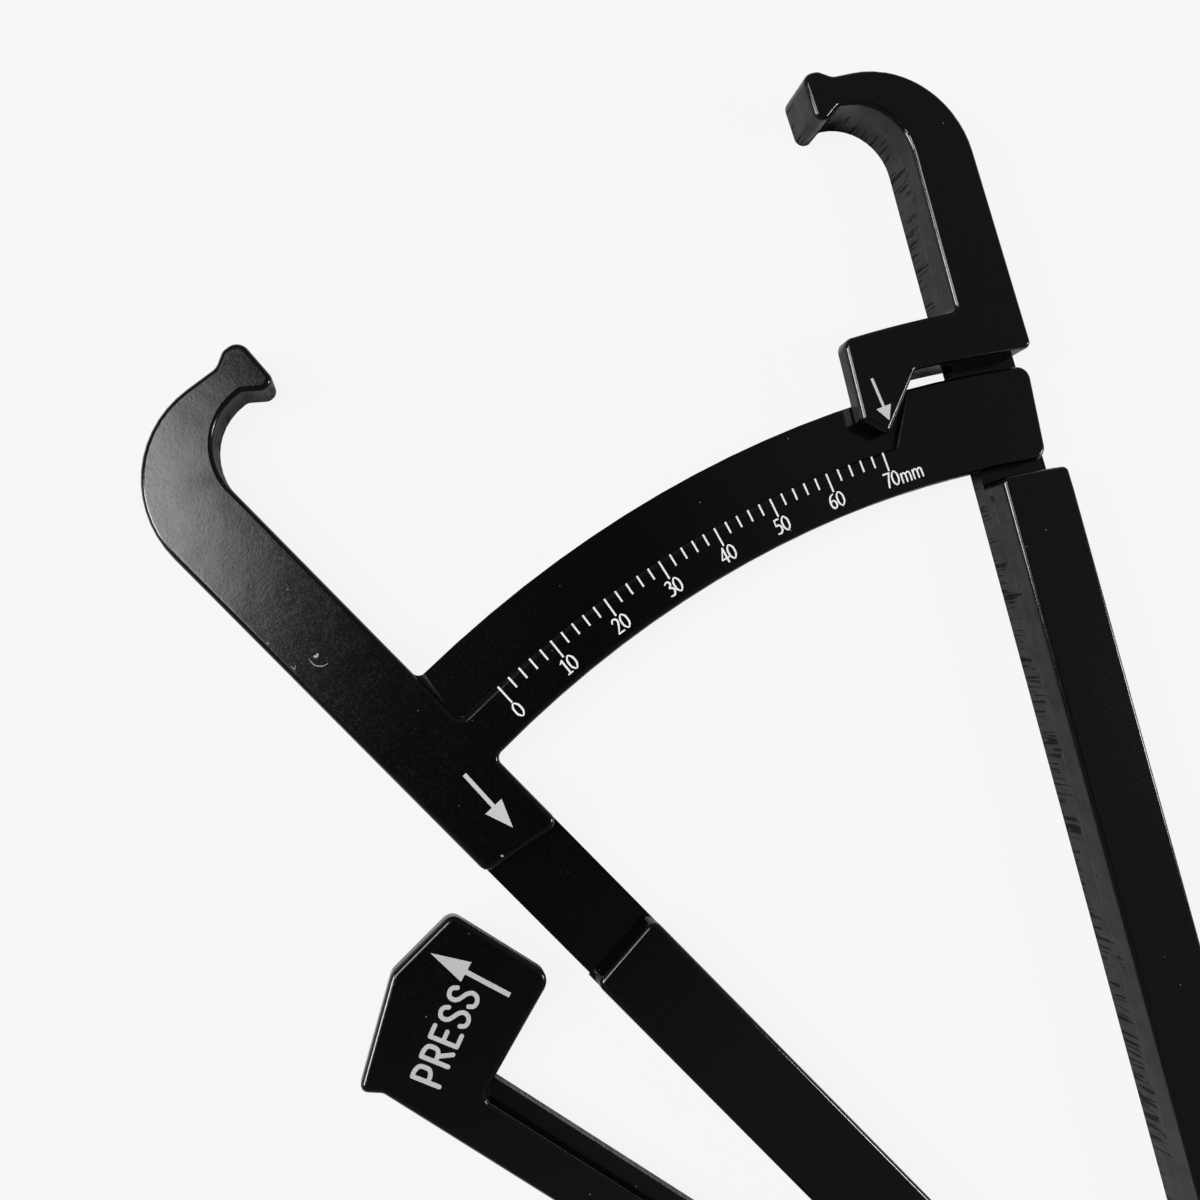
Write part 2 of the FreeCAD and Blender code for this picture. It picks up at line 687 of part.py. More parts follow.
def at_pin(feature):
    """Stand a turned piece on the lever pin's axis instead of the main pivot."""
    turn = "asin(Dims.drawn_span / (2 * Dims.jaw_radius))"
    feature.setExpression(
        "Placement.Base.x",
        f"-Dims.hinge_across * cos({turn}) - Dims.hinge_along * sin({turn})")
    feature.setExpression(
        "Placement.Base.y",
        f"Dims.hinge_along * cos({turn}) - Dims.hinge_across * sin({turn})")
    return feature


def pivot_barrel():
    """Headed barrel nut; its head lies flush in the back of the scale arm."""
    head = cylinder("BarrelHead", "Dims.barrel_head", "Dims.barrel_head_thick")
    shank = cylinder("BarrelShank", "Dims.barrel_rad", "Dims.barrel_front")
    hole = cylinder("BarrelHole", "Dims.thread_rad", "Dims.barrel_front",
                    "Dims.thread_floor")
    outside = joined("Fuse", "BarrelOutside", head, shank)
    return as_node(joined("Cut", "Barrel", outside, hole), "pivot_barrel")


def pivot_screw():
    """Flat-headed screw with a hexagon socket, down the middle of the barrel."""
    head = cylinder("ScrewHead", "Dims.screw_head", "Dims.screw_head_thick",
                    "Dims.barrel_front")
    shank = cylinder("ScrewShank", "Dims.screw_rad",
                     "Dims.barrel_front + Dims.screw_head_thick / 2 - Dims.screw_reach",
                     "Dims.screw_reach")
    socket = doc.addObject("Part::Prism", "ScrewSocket")
    socket.Polygon = 6
    socket.setExpression("Circumradius", "Dims.screw_socket / sqrt(3)")
    socket.setExpression("Height", "2 * Dims.socket_depth")
    socket.setExpression(
        "Placement.Base.z",
        "Dims.barrel_front + Dims.screw_head_thick - Dims.socket_depth")
    outside = joined("Fuse", "ScrewOutside", head, shank)
    return as_node(joined("Cut", "Screw", outside, socket), "pivot_screw")


def ring_node(label, radius, bore, thickness, level):
    """Flat ring on the pivot axis."""
    disc = cylinder(label + "_disc", radius, thickness, level)
    hole = cylinder(label + "_hole", bore, thickness, level)
    return as_node(joined("Cut", label + "_ring", disc, hole), label)


def spring_washer():
    """Ring of spring steel bent about one line."""
    rise = "(Dims.spring_bend - sqrt(Dims.spring_bend ^ 2 - Dims.washer_rad ^ 2))"
    outer = cylinder("BendOutside", "Dims.spring_bend", "4 * Dims.washer_rad")
    inner = cylinder("BendInside", "Dims.spring_bend - Dims.spring_sheet",
                     "4 * Dims.washer_rad")
    for solid in (outer, inner):
        solid.Placement = Placement(Vector(0, 0, 0), Rotation(Vector(1, 0, 0), 90))
        solid.setExpression("Placement.Base.y", "2 * Dims.washer_rad")
        solid.setExpression("Placement.Base.z", "Dims.washer_back - Dims.spring_bend")
    sheet_metal = joined("Cut", "BentSheet", outer, inner)
    disc = cylinder("SpringWasherDisc", "Dims.washer_rad", "1", "Dims.washer_back - 1")
    hole = cylinder("SpringWasherHole", "Dims.washer_bore", "1", "Dims.washer_back - 1")
    flat = joined("Cut", "SpringWasherRing", disc, hole)
    return as_node(joined("Common", "SpringWasher", sheet_metal, flat), "spring_washer")


def pivot_cap():
    """Snap-in cover with a skirt that grips the well."""
    top = cylinder("CapTop", "Dims.cap_rad", "Dims.cap_thick", "Dims.ring_front")
    skirt = cylinder("CapSkirt", "Dims.skirt_rad", "Dims.ring_front - Dims.skirt_back + 0.2",
                     "Dims.skirt_back")
    bore = cylinder("CapBore", "Dims.skirt_bore", "Dims.ring_front - Dims.skirt_back",
                    "Dims.skirt_back")
    outside = joined("Fuse", "CapOutside", top, skirt)
    hollow = joined("Cut", "CapHollow", outside, bore)
    front = size("ring_front") + size("cap_thick")
    return as_node(softened(hollow, "Cap", "cap_round", front), "pivot_cap")


def lever_pin():
    """Pin pressed into the ear, with a groove for the retaining ring."""
    shank = cylinder("PinShank", "Dims.pin_rad", "Dims.pin_front")
    collar = cylinder("GrooveOutside", "2 * Dims.pin_rad", "Dims.clip_thick", "Dims.clip_back")
    core = cylinder("GrooveCore", "Dims.clip_seat", "Dims.clip_thick", "Dims.clip_back")
    groove = joined("Cut", "PinGroove", collar, core)
    pin = joined("Cut", "Pin", shank, groove)
    return at_pin(as_node(pin, "lever_pin"))


def lever_ring():
    """Retaining ring snapped into the groove, open on one side."""
    disc = cylinder("RingDisc", "Dims.clip_rad", "Dims.clip_thick", "Dims.clip_back")
    hole = cylinder("RingHole", "Dims.clip_seat", "Dims.clip_thick", "Dims.clip_back")
    mouth = doc.addObject("Part::Box", "RingMouth")
    mouth.setExpression("Length", "Dims.clip_seat * 1.7")
    mouth.setExpression("Width", "2 * Dims.clip_rad")
    mouth.setExpression("Height", "Dims.clip_thick")
    mouth.setExpression("Placement.Base.x", "-Dims.clip_seat * 0.85")
    mouth.setExpression("Placement.Base.y", "-2 * Dims.clip_rad")
    mouth.setExpression("Placement.Base.z", "Dims.clip_back")
    closed = joined("Cut", "RingClosed", disc, hole)
    return at_pin(as_node(joined("Cut", "RetainingRing", closed, mouth), "lever_ring"))


def lever_spring():
    """Torsion spring: one wire, two straight legs that run on from the coil."""
    radius, pitch = size("coil_rad"), size("coil_pitch")
    aside = math.degrees(math.asin(
        (radius - size("wire_rad") - size("peg_rad") - size("peg_gap")) / size("peg_reach")))
    first = size("arm_peg_turn") - aside + 90
    last = size("lever_peg_turn") + aside - 90
    turns = (last - first) / 360 + 2
    helix = Part.makeHelix(pitch, pitch * turns, radius)
    helix.rotate(Vector(0, 0, 0), Vector(0, 0, 1), first)
    helix.translate(Vector(0, 0, size("coil_start")))
    rise = math.atan2(pitch, 2 * math.pi * radius)

    def leg_end(degrees, height, sense):
        """Free end of a leg that leaves the coil along its tangent."""
        turn = math.radians(degrees)
        start = Vector(radius * math.cos(turn), radius * math.sin(turn), height)
        tangent = Vector(-math.sin(turn) * math.cos(rise), math.cos(turn) * math.cos(rise),
                         math.sin(rise))
        return start, start + tangent * sense * size("leg_length")

    low, low_end = leg_end(first, size("coil_start"), -1)
    high, high_end = leg_end(last, size("coil_start") + pitch * turns, 1)
    path = Part.Wire([Part.makeLine(low_end, low), *helix.Edges, Part.makeLine(high, high_end)])
    section = Part.Wire([Part.makeCircle(size("wire_rad"), low_end, low - low_end)])
    spring = doc.addObject("Part::Feature", "Spring")
    spring.Shape = path.makePipeShell([section], True, True)
    spring.Label = "lever_spring"
    half = math.asin(size("drawn_span") / (2 * size("jaw_radius")))
    pin = Vector(-size("hinge_across"), size("hinge_along"), 0)
    spin = Rotation(Vector(0, 0, 1), math.degrees(half))
    spring.Placement = Placement(spin.multVec(pin), spin)
    return spring


# --------------------------------------------------------------------- export

nodes = [
    scale_arm(), pointer_arm(), press_lever(), pivot_barrel(), pivot_screw(),
    ring_node("pivot_spacer", "Dims.spacer_rad", "Dims.bore_rad", "Dims.spacer_thick",
              "Dims.lap_back"),
    spring_washer(),
    ring_node("flat_washer", "Dims.washer_rad", "Dims.washer_bore", "Dims.washer_thick",
              "Dims.washer_back"),
    pivot_cap(), lever_pin(), lever_spring(), lever_ring(),
]
doc.recompute()

for item in doc.Objects:
    if {"Invalid", "Error"} & set(item.State):
        raise RuntimeError(f"{item.Label} failed: {item.State}")
os.makedirs("parts", exist_ok=True)
for node in nodes:
    shape = node.Shape
    if shape.isNull() or not shape.isValid() or len(shape.Solids) != 1:
        raise RuntimeError(f"{node.Label}: bad shape, {len(shape.Solids)} solids")
for node in nodes:
    node.Shape.exportStep(f"parts/{node.Label}.step")
    print(f"{node.Label}: {node.Shape.Volume:.1f} mm3, box {node.Shape.BoundBox}")
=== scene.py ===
"""Dresses the skinfold caliper: three black mouldings, their hinges and the printed scale.

Everything is in metres and in the frame of the solid model. The pivot's axis is +Z, the
jaws point along +Y, and the pointer arm is on the +X side. The prints' sizes are in
millimetres, and become metres where they are placed.
"""

import logging
import math
from dataclasses import dataclass, field
from enum import Enum
from typing import Any, Iterable, Optional, Sequence

import bmesh
import bpy
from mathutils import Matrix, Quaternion, Vector, geometry

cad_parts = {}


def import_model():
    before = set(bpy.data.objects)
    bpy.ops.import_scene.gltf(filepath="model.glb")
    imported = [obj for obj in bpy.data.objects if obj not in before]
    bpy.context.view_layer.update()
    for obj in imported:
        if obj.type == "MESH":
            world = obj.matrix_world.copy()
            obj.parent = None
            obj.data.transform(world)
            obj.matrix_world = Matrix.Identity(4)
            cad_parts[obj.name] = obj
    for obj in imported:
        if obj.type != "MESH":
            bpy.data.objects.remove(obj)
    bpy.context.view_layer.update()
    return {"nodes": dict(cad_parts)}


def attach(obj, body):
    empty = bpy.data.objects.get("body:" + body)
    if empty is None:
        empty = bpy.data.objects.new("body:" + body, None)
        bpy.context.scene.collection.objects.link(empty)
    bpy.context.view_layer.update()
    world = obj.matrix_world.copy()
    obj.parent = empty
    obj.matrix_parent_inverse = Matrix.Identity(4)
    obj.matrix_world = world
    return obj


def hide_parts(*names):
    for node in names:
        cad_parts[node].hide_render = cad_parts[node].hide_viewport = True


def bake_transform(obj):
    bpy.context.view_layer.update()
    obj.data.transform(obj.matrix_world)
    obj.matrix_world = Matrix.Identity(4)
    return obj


LOG = logging.getLogger("caliper")
MM = 0.001

# the Z of a wall's normal stays below this
WALL_NORMAL_Z = 0.3
# faces that turn by more than this share a sharp edge
EDGE_TURN = math.radians(35)
# loose corners this close together are one
WELD = 0.002 * MM

# in millimetres: the mouldings' fronts above their back, and a print's top above a front
ARM_FRONT = 4.6
POINTER_FRONT = 6.4
PRINT_LIFT = 0.02
# the lowest third of a print is sunk into the plastic
PRINT_THICK = 0.03 * MM
# half the angle between the two arms
HALF_OPENING = math.radians(11.738)

Socket = bpy.types.NodeSocket
Pair = tuple[float, float]
Triple = tuple[float, float, float]


class Body(Enum):
    """The three bodies of the caliper that move as one piece each."""

    SCALE = "scale_side"
    POINTER = "pointer_side"
    LEVER = "lever"


class Slot(Enum):
    """Names of three of the record's finishes, which nothing here uses."""

    BLACK = "black_abs"
    SPRING = "spring_steel"
    NYLON = "nylon"


# -------------------- node helpers

@dataclass(frozen=True)
class Grain:
    """A noise pattern.

    The scale is in features per metre, the detail in octaves, and the roughness weighs
    the finer ones. The span is the part of its values that shows.
    """

    scale: float
    detail: float = 2.0
    roughness: float = 0.5
    distortion: float = 0.0
    span: Pair = (0.3, 0.7)


@dataclass(frozen=True)
class Relief:
    """How strongly a pattern is raised, and how deep in metres."""

    strength: float
    depth: float


class NodeGraph:
    """A node tree with short calls to add nodes and join their sockets."""

    def __init__(self, tree: bpy.types.NodeTree) -> None:
        """Starts on an empty tree.

        Args:
            tree: The node tree that is filled.
        """
        self.tree = tree
        tree.nodes.clear()

    def add(self, kind: str, inputs: Optional[dict[Any, Any]] = None,
            **settings: Any) -> bpy.types.Node:
        """Adds a node.

        Args:
            kind: The node's type.
            inputs: Value or output socket for each input, by name or by index.
            **settings: Attributes of the node itself.

        Returns:
            The new node.
        """
        node = self.tree.nodes.new(kind)
        for name, value in settings.items():
            setattr(node, name, value)
        for key, value in (inputs or {}).items():
            if isinstance(value, Socket):
                self.tree.links.new(value, node.inputs[key])
            else:
                node.inputs[key].default_value = value
        return node

    def math(self, operation: str, *values: Any) -> Socket:
        """Adds a math node and returns its result.

        Args:
            operation: The sum that the node does.
            *values: Its operands, as numbers or output sockets.

        Returns:
            The output socket.
        """
        node = self.add("ShaderNodeMath", dict(enumerate(values)), operation=operation)
        return node.outputs[0]

    def noise(self, where: Socket, grain: Grain) -> Socket:
        """Adds a noise texture and returns its value.

        Args:
            where: The coordinates that it reads.
            grain: The pattern.

        Returns:
            The output socket of the value, about 0.3 to 0.7.
        """
        return self.add("ShaderNodeTexNoise", {
            "Vector": where, "Scale": grain.scale, "Detail": grain.detail,
            "Roughness": grain.roughness, "Distortion": grain.distortion}).outputs[0]

    def remap(self, value: Socket, span: Pair, result: Pair) -> Socket:
        """Stretches a value from one range to another, and holds it there.

        Args:
            value: The socket that is stretched.
            span: Start and end of its range.
            result: What it gives at the start and at the end.

        Returns:
            The output socket.
        """
        node = self.add("ShaderNodeMapRange", {
            "Value": value, "From Min": span[0], "From Max": span[1],
            "To Min": result[0], "To Max": result[1]})
        return node.outputs[0]

    def mix(self, share: Any, first: Any, second: Any) -> Socket:
        """Mixes two colours.

        Args:
            share: How much of the second colour shows.
            first: A colour or an output socket.
            second: A colour or an output socket.

        Returns:
            The output socket of the colour.
        """
        # the node's sockets for its share and its two colours come at 0, 6 and 7
        node = self.add("ShaderNodeMix", {0: share, 6: first, 7: second}, data_type="RGBA")
        return node.outputs[2]

    def bump(self, height: Socket, relief: Relief, below: Optional[Socket] = None) -> Socket:
        """Adds a bump and returns its normal.

        Args:
            height: The pattern that is raised.
            relief: How strongly and how deep.
            below: The normal of the bump that it lies on, if any.

        Returns:
            The output socket of the normal.
        """
        inputs = {"Height": height, "Strength": relief.strength, "Distance": relief.depth}
        if below is not None:
            inputs["Normal"] = below
        return self.add("ShaderNodeBump", inputs).outputs[0]


def grey(level: float) -> tuple[float, float, float, float]:
    """A neutral colour of that linear level."""
    return (level, level, level, 1.0)


# -------------------- finishes

@dataclass(frozen=True)
class Finish:
    """What every finish has: a name, and a way to build its material."""

    name: str

    def material(self) -> bpy.types.Material:
        """The finish's material, built once.

        Returns:
            The material with its nodes.
        """
        found = bpy.data.materials.get(self.name)
        if found:
            return found
        made = bpy.data.materials.new(self.name)
        made.use_nodes = True
        graph = NodeGraph(made.node_tree)
        where = graph.add("ShaderNodeTexCoord").outputs["Object"]
        shader = graph.add("ShaderNodeBsdfPrincipled", self.surface(graph, where))
        graph.add("ShaderNodeOutputMaterial", {"Surface": shader.outputs[0]})
        return made

    def surface(self, graph: NodeGraph, where: Socket) -> dict[str, Any]:
        """Builds the finish's own nodes.

        Args:
            graph: The material's nodes.
            where: Object coordinates.

        Returns:
            Value or socket for each input of the shader that it sets.
        """
        raise NotImplementedError


@dataclass(frozen=True)
class MouldedBlack(Finish):
    """Black plastic from a polished mould, with handling wear and a little dust.

    The drag marks are short lines that the mould left on the walls, and its halves met at
    the parting line. Wear makes a place rougher, and a dull place mirrors less. The drag
    marks also mirror less, which is painted shade in their grooves.
    """

    tone: float = 0.0012
    ior: float = 1.52
    mirror: float = 0.5
    gloss: Pair = (0.05, 0.1)
    clouds: Grain = Grain(60, detail=5, roughness=0.62, distortion=0.4, span=(0.32, 0.68))
    specks: Grain = Grain(3600, detail=3, roughness=0.8, span=(0.45, 0.68))
    speck_wear: float = 0.15
    patches: Grain = Grain(420, detail=4, roughness=0.65, span=(0.35, 0.65))
    patch_dull: float = 0.35
    drag: Grain = Grain(2600, detail=1.0, roughness=0.6, span=(0.52, 0.58))
    drag_stretch: Triple = (0.2, 1.0, 0.06)
    drag_lean: float = 0.45
    drag_areas: Grain = Grain(330, span=(0.35, 0.62))
    drag_reach: Pair = (1.4 * MM, 4.8 * MM)
    drag_fade: float = 1.2 * MM
    drag_wear: float = 0.12
    # how much less a drag mark mirrors: painted shade in its groove
    drag_painted_shade: float = 0.8
    dust: float = 0.22
    dust_tone: float = 0.75
    dust_cells: float = 900.0
    dust_size: float = 0.07
    dust_rarity: float = 0.94
    parting: float = 3.4 * MM
    parting_width: float = 0.12 * MM
    parting_rise: float = 0.5
    skin: Relief = Relief(0.4, 0.00002)
    waves: Grain = Grain(210)
    wave_relief: Relief = Relief(0.2, 0.00012)
    groove_relief: Relief = Relief(0.6, 0.00006)

    def surface(self, graph: NodeGraph, where: Socket) -> dict[str, Any]:
        """Builds the black plastic's nodes.

        Args:
            graph: The material's nodes.
            where: Object coordinates.

        Returns:
            Value or socket for each input of the shader that it sets.
        """
        specks = graph.noise(where, self.specks)
        height = graph.add("ShaderNodeSeparateXYZ", {0: where}).outputs[2]
        facing = graph.add("ShaderNodeNewGeometry").outputs["True Normal"]
        tilt = graph.math("ABSOLUTE", graph.add(
            "ShaderNodeSeparateXYZ", {0: facing}).outputs[2])
        wall = graph.math("LESS_THAN", tilt, WALL_NORMAL_Z)
        marks = graph.math("MULTIPLY", wall, self.drag_marks(graph, where, height))

        # uneven sheen of a moulded face, rougher where fingers rub it
        sheen = graph.math(
            "ADD", graph.remap(graph.noise(where, self.clouds), self.clouds.span, self.gloss),
            graph.remap(specks, self.specks.span, (0.0, self.speck_wear)))
        rough = graph.math("ADD", sheen, graph.math("MULTIPLY", marks, self.drag_wear))

        # a dull patch of a wall mirrors less, and a groove mirrors less as painted shade
        patches = graph.remap(graph.noise(where, self.patches), self.patches.span,
                              (self.patch_dull, 0.0))
        lost = graph.math("MULTIPLY", graph.math("MULTIPLY", wall, patches), self.mirror)
        mirror = graph.math(
            "MULTIPLY", graph.math("SUBTRACT", self.mirror, lost),
            graph.math("SUBTRACT", 1.0, graph.math("MULTIPLY", marks, self.drag_painted_shade)))

        # a fine skin, a slow waviness, then the grooves and the mould's parting line
        skin = graph.bump(specks, self.skin)
        wave = graph.bump(graph.noise(where, self.waves), self.wave_relief, skin)
        off = graph.math("ABSOLUTE", graph.math("SUBTRACT", height, self.parting))
        ridge = graph.math("MULTIPLY", wall, graph.remap(
            off, (0.0, self.parting_width), (1.0, 0.0)))
        raised = graph.math("SUBTRACT", graph.math(
            "MULTIPLY", ridge, self.parting_rise), marks)
        return {
            "Base Color": self.dusted(graph, where), "Roughness": rough,
            "Specular IOR Level": mirror, "IOR": self.ior,
            "Normal": graph.bump(raised, self.groove_relief, wave),
        }

    def dusted(self, graph: NodeGraph, where: Socket) -> Socket:
        """Black with a pale grain of dust in a few cells of a fine pattern.

        Args:
            graph: The material's nodes.
            where: Object coordinates.

        Returns:
            The output socket of the colour.
        """
        cells = graph.add("ShaderNodeTexVoronoi", {"Vector": where, "Scale": self.dust_cells})
        near = graph.math("LESS_THAN", cells.outputs["Distance"], self.dust_size)
        draw = graph.add("ShaderNodeSeparateColor", {0: cells.outputs["Color"]}).outputs[0]
        chosen = graph.math("GREATER_THAN", draw, self.dust_rarity)
        grain = graph.math("MULTIPLY", near, chosen)
        return graph.mix(graph.math("MULTIPLY", grain, self.dust), grey(self.tone),
                         grey(self.dust_tone))

    def drag_marks(self, graph: NodeGraph, where: Socket, height: Socket) -> Socket:
        """Short drag lines that the mould left across the walls, from the back upwards.

        Args:
            graph: The material's nodes.
            where: Object coordinates.
            height: Their Z.

        Returns:
            A socket that is 1 on a line and 0 elsewhere.
        """
        bars = graph.add("ShaderNodeMapping", {
            "Vector": where, "Scale": self.drag_stretch,
            "Rotation": (self.drag_lean, 0.0, 0.0)}).outputs[0]
        lines = graph.remap(graph.noise(bars, self.drag), self.drag.span, (0.0, 1.0))
        reach = graph.remap(graph.noise(where, self.drag_areas), self.drag_areas.span,
                            self.drag_reach)
        share = graph.remap(graph.math("SUBTRACT", reach, height), (0.0, self.drag_fade),
                            (0.0, 1.0))
        return graph.math("MULTIPLY", lines, share)


@dataclass(frozen=True)
class PrintedInk(Finish):
    """Pad-printed ink, a little grainy where the plastic shows through."""

    tone: float = 0.5
    wear: float = 0.25
    wear_span: Pair = (0.35, 0.62)
    worn_share: float = 0.35
    gloss: Pair = (0.5, 0.66)
    fine: Grain = Grain(9000, roughness=0.7)
    relief: Relief = Relief(0.2, 0.00001)

    def surface(self, graph: NodeGraph, where: Socket) -> dict[str, Any]:
        """Builds the ink's nodes.

        Args:
            graph: The material's nodes.
            where: Object coordinates.

        Returns:
            Value or socket for each input of the shader that it sets.
        """
        fine = graph.noise(where, self.fine)
        worn = graph.remap(fine, self.wear_span, (self.wear, 0.0))
        return {
            "Base Color": graph.mix(worn, grey(self.tone), grey(self.tone * self.worn_share)),
            "Roughness": graph.remap(fine, self.fine.span, self.gloss),
            "Normal": graph.bump(fine, self.relief),
        }


@dataclass(frozen=True)
class Metal(Finish):
    """Steel with a fine drawn or turned grain."""

    tone: float = 0.6
    gloss: Pair = (0.18, 0.3)
    stretch: Triple = (1.0, 1.0, 8.0)
    fine: Grain = Grain(900, detail=3, roughness=0.6)
    tarnish: Grain = Grain(260, detail=3, roughness=0.6, span=(0.45, 0.7))
    tarnish_share: float = 0.5
    tarnish_tint: Triple = (0.6, 0.58, 0.54)
    relief: Relief = Relief(0.15, 0.00002)

    def surface(self, graph: NodeGraph, where: Socket) -> dict[str, Any]:
        """Builds the metal's nodes.

        Args:
            graph: The material's nodes.
            where: Object coordinates.

        Returns:
            Value or socket for each input of the shader that it sets.
        """
        stretched = graph.add("ShaderNodeMapping", {"Vector": where, "Scale": self.stretch})
        fine = graph.noise(stretched.outputs[0], self.fine)
        tarnish = graph.remap(graph.noise(where, self.tarnish), self.tarnish.span,
                              (0.0, self.tarnish_share))
        dark = (*(self.tone * part for part in self.tarnish_tint), 1.0)
        return {
            "Base Color": graph.mix(tarnish, grey(self.tone), dark), "Metallic": 1.0,
            "Roughness": graph.remap(fine, self.fine.span, self.gloss),
            "Normal": graph.bump(fine, self.relief),
        }


@dataclass(frozen=True)
class NaturalNylon(Finish):
    """Milky nylon of the pivot's spacer."""

    dark: Triple = (0.7, 0.68, 0.62)
    pale: Triple = (0.8, 0.79, 0.75)
    gloss: Pair = (0.42, 0.55)
    clouds: Grain = Grain(350, detail=3)

    def surface(self, graph: NodeGraph, where: Socket) -> dict[str, Any]:
        """Builds the nylon's nodes.

        Args:
            graph: The material's nodes.
            where: Object coordinates.

        Returns:
            Value or socket for each input of the shader that it sets.
        """
        clouds = graph.noise(where, self.clouds)
        share = graph.remap(clouds, self.clouds.span, (0.0, 1.0))
        return {
            "Base Color": graph.mix(share, (*self.dark, 1.0), (*self.pale, 1.0)),
            "Roughness": graph.remap(clouds, self.clouds.span, self.gloss),
        }


BLACK = MouldedBlack("moulded_black")
INK = PrintedInk("scale_ink", tone=0.88)
LABEL_INK = PrintedInk("label_ink", tone=0.58)
TAB_INK = PrintedInk("tab_ink", tone=0.5)
SCUFF = PrintedInk("scuffed_plastic", tone=0.4, wear=0.7)
PLATED = Metal("nickel_plate", tone=0.62)
WIRE = Metal("spring_wire", tone=0.42, gloss=(0.25, 0.4), stretch=(4.0, 4.0, 1.0))
NYLON = NaturalNylon("natural_nylon")


# -------------------- mesh helpers

def new_piece(name: str, mesh: bpy.types.Mesh, finish: Finish, body: Optional[Body]) -> bpy.types.Object:
    """Makes an object of a mesh and lets it ride on a body.

    Args:
        name: The piece's name.
        mesh: Its mesh, already in place.
        finish: Its finish.
        body: The body that it moves with, or None where it rides on no body.

    Returns:
        The object.
    """
    piece = bpy.data.objects.new(name, mesh)
    bpy.context.scene.collection.objects.link(piece)
    mesh.materials.clear()
    mesh.materials.append(finish.material())
    if body:
        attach(piece, body.value)
    LOG.info("%s: %d faces on %s", name, len(mesh.polygons),
             body.value if body else "two bodies")
    return piece


def applied(piece: bpy.types.Object) -> bpy.types.Mesh:
    """The mesh of an object with its modifiers applied.

    Args:
        piece: An object that isn't shown itself; it is removed.

    Returns:
        The evaluated mesh, as plain data.
    """
    graph = bpy.context.evaluated_depsgraph_get()
    mesh = bpy.data.meshes.new_from_object(piece.evaluated_get(graph), depsgraph=graph)
    bpy.data.objects.remove(piece)
    return mesh


def merged_copy(node: bpy.types.Object) -> bmesh.types.BMesh:
    """A working copy of a solid, whose loose triangles are joined.

    Args:
        node: The solid's object, which stays as it is.

    Returns:
        The working copy.
    """
    shell = bmesh.new()
    shell.from_mesh(node.data)
    bmesh.ops.remove_doubles(shell, verts=shell.verts, dist=WELD)
    return shell


def shade_as_skin(shell: bmesh.types.BMesh) -> None:
    """Shades all faces as one skin, apart from the sharp edges.

    Args:
        shell: The working mesh.
    """
    for face in shell.faces:
        face.smooth = True
    for edge in shell.edges:
        edge.smooth = edge.calc_face_angle(0) < EDGE_TURN


def stored(shell: bmesh.types.BMesh, name: str) -> bpy.types.Mesh:
    """Turns a working mesh into plain data.

    Args:
        shell: The working mesh, which is freed.
        name: The mesh's name.

    Returns:
        The mesh.
    """
    mesh = bpy.data.meshes.new(name)
    shell.to_mesh(mesh)
    shell.free()
    return mesh


@dataclass(frozen=True)
class Ramp:
    """The slope where the grip rises from the floor of the recess."""

    floor: float = 2.3 * MM
    floor_slack: float = 0.01 * MM
    along: Pair = (-0.2035, 0.9791)
    reach: Pair = (99.5 * MM, 103.4 * MM)
    slide: float = 0.6 * MM

    def lean(self, shell: bmesh.types.BMesh) -> None:
        """Slides the foot of the wall into the recess.

        Args:
            shell: The arm's mesh.
        """
        way = Vector((*self.along, 0.0))
        shift = {}
        for vert in shell.verts:
            near = self.reach[0] < vert.co.dot(way) < self.reach[1]
            if abs(vert.co.z - self.floor) > self.floor_slack or not near:
                continue
            walls = [face.normal.dot(way) for face in vert.link_faces
                     if abs(face.normal.z) < WALL_NORMAL_Z]
            if walls:
                shift[vert] = max(max(walls), 0.0)
        for vert, share in shift.items():
            vert.co += way * self.slide * share


@dataclass
class SoftenedMoulding:
    """A moulding with its sharp edges eased and its facets shaded as one skin."""

    node: bpy.types.Object
    body: Body
    ramp: Optional[Ramp] = None
    ease: float = 0.16 * MM
    rounds: int = 2
    sharp: float = math.radians(42)
    level: float = math.radians(0.4)
    shading_weight: int = 90

    def build(self) -> bpy.types.Object:
        """Makes the eased copy and lets it stand for the solid.

        Returns:
            The new piece.
        """
        name = self.node.name
        shell = merged_copy(self.node)
        bmesh.ops.dissolve_limit(shell, angle_limit=self.level, verts=shell.verts,
                                 edges=shell.edges)
        shell.normal_update()
        if self.ramp:
            self.ramp.lean(shell)
            shell.normal_update()
        edges = [edge for edge in shell.edges
                 if len(edge.link_faces) == 2 and edge.calc_face_angle(0) > self.sharp]
        bmesh.ops.bevel(shell, geom=edges, offset=self.ease, offset_type="OFFSET",
                        segments=self.rounds, profile=0.5, affect="EDGES",
                        clamp_overlap=True)
        bmesh.ops.triangulate(shell, faces=[f for f in shell.faces if len(f.verts) > 4])
        shade_as_skin(shell)
        holder = bpy.data.objects.new(name + "_work", stored(shell, name + "_eased"))
        bpy.context.scene.collection.objects.link(holder)
        weigh = holder.modifiers.new("even_shading", "WEIGHTED_NORMAL")
        weigh.keep_sharp = True
        weigh.weight = self.shading_weight
        piece = new_piece(name + "_moulding", applied(holder), BLACK, self.body)
        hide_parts(name)
        return piece


@dataclass
class WindingSpring:
    """The lever's torsion spring, a still copy that rides on no body.

    Its low leg lies on the arm's peg and its high leg on the lever's peg, so the real spring
    winds up as the lever turns.
    """

    node: bpy.types.Object
    wire: float = 1.2 * MM
    leg_rise: float = 0.8 * MM

    def build(self) -> bpy.types.Object:
        """Makes the spring's still copy and lets it stand for the solid.

        Returns:
            The new piece.
        """
        name = self.node.name
        coil = merged_copy(self.node)
        shade_as_skin(coil)
        piece = new_piece(name + "_winding", stored(coil, name + "_wire"), WIRE, None)
        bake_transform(piece)
        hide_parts(name)
        return piece


# -------------------- prints

# straight steps in a curved span, corners of the disc at a bend, and the shortest step
CURVE_STEPS = 6
DISC_CORNERS = 10
SHORTEST = 1e-9


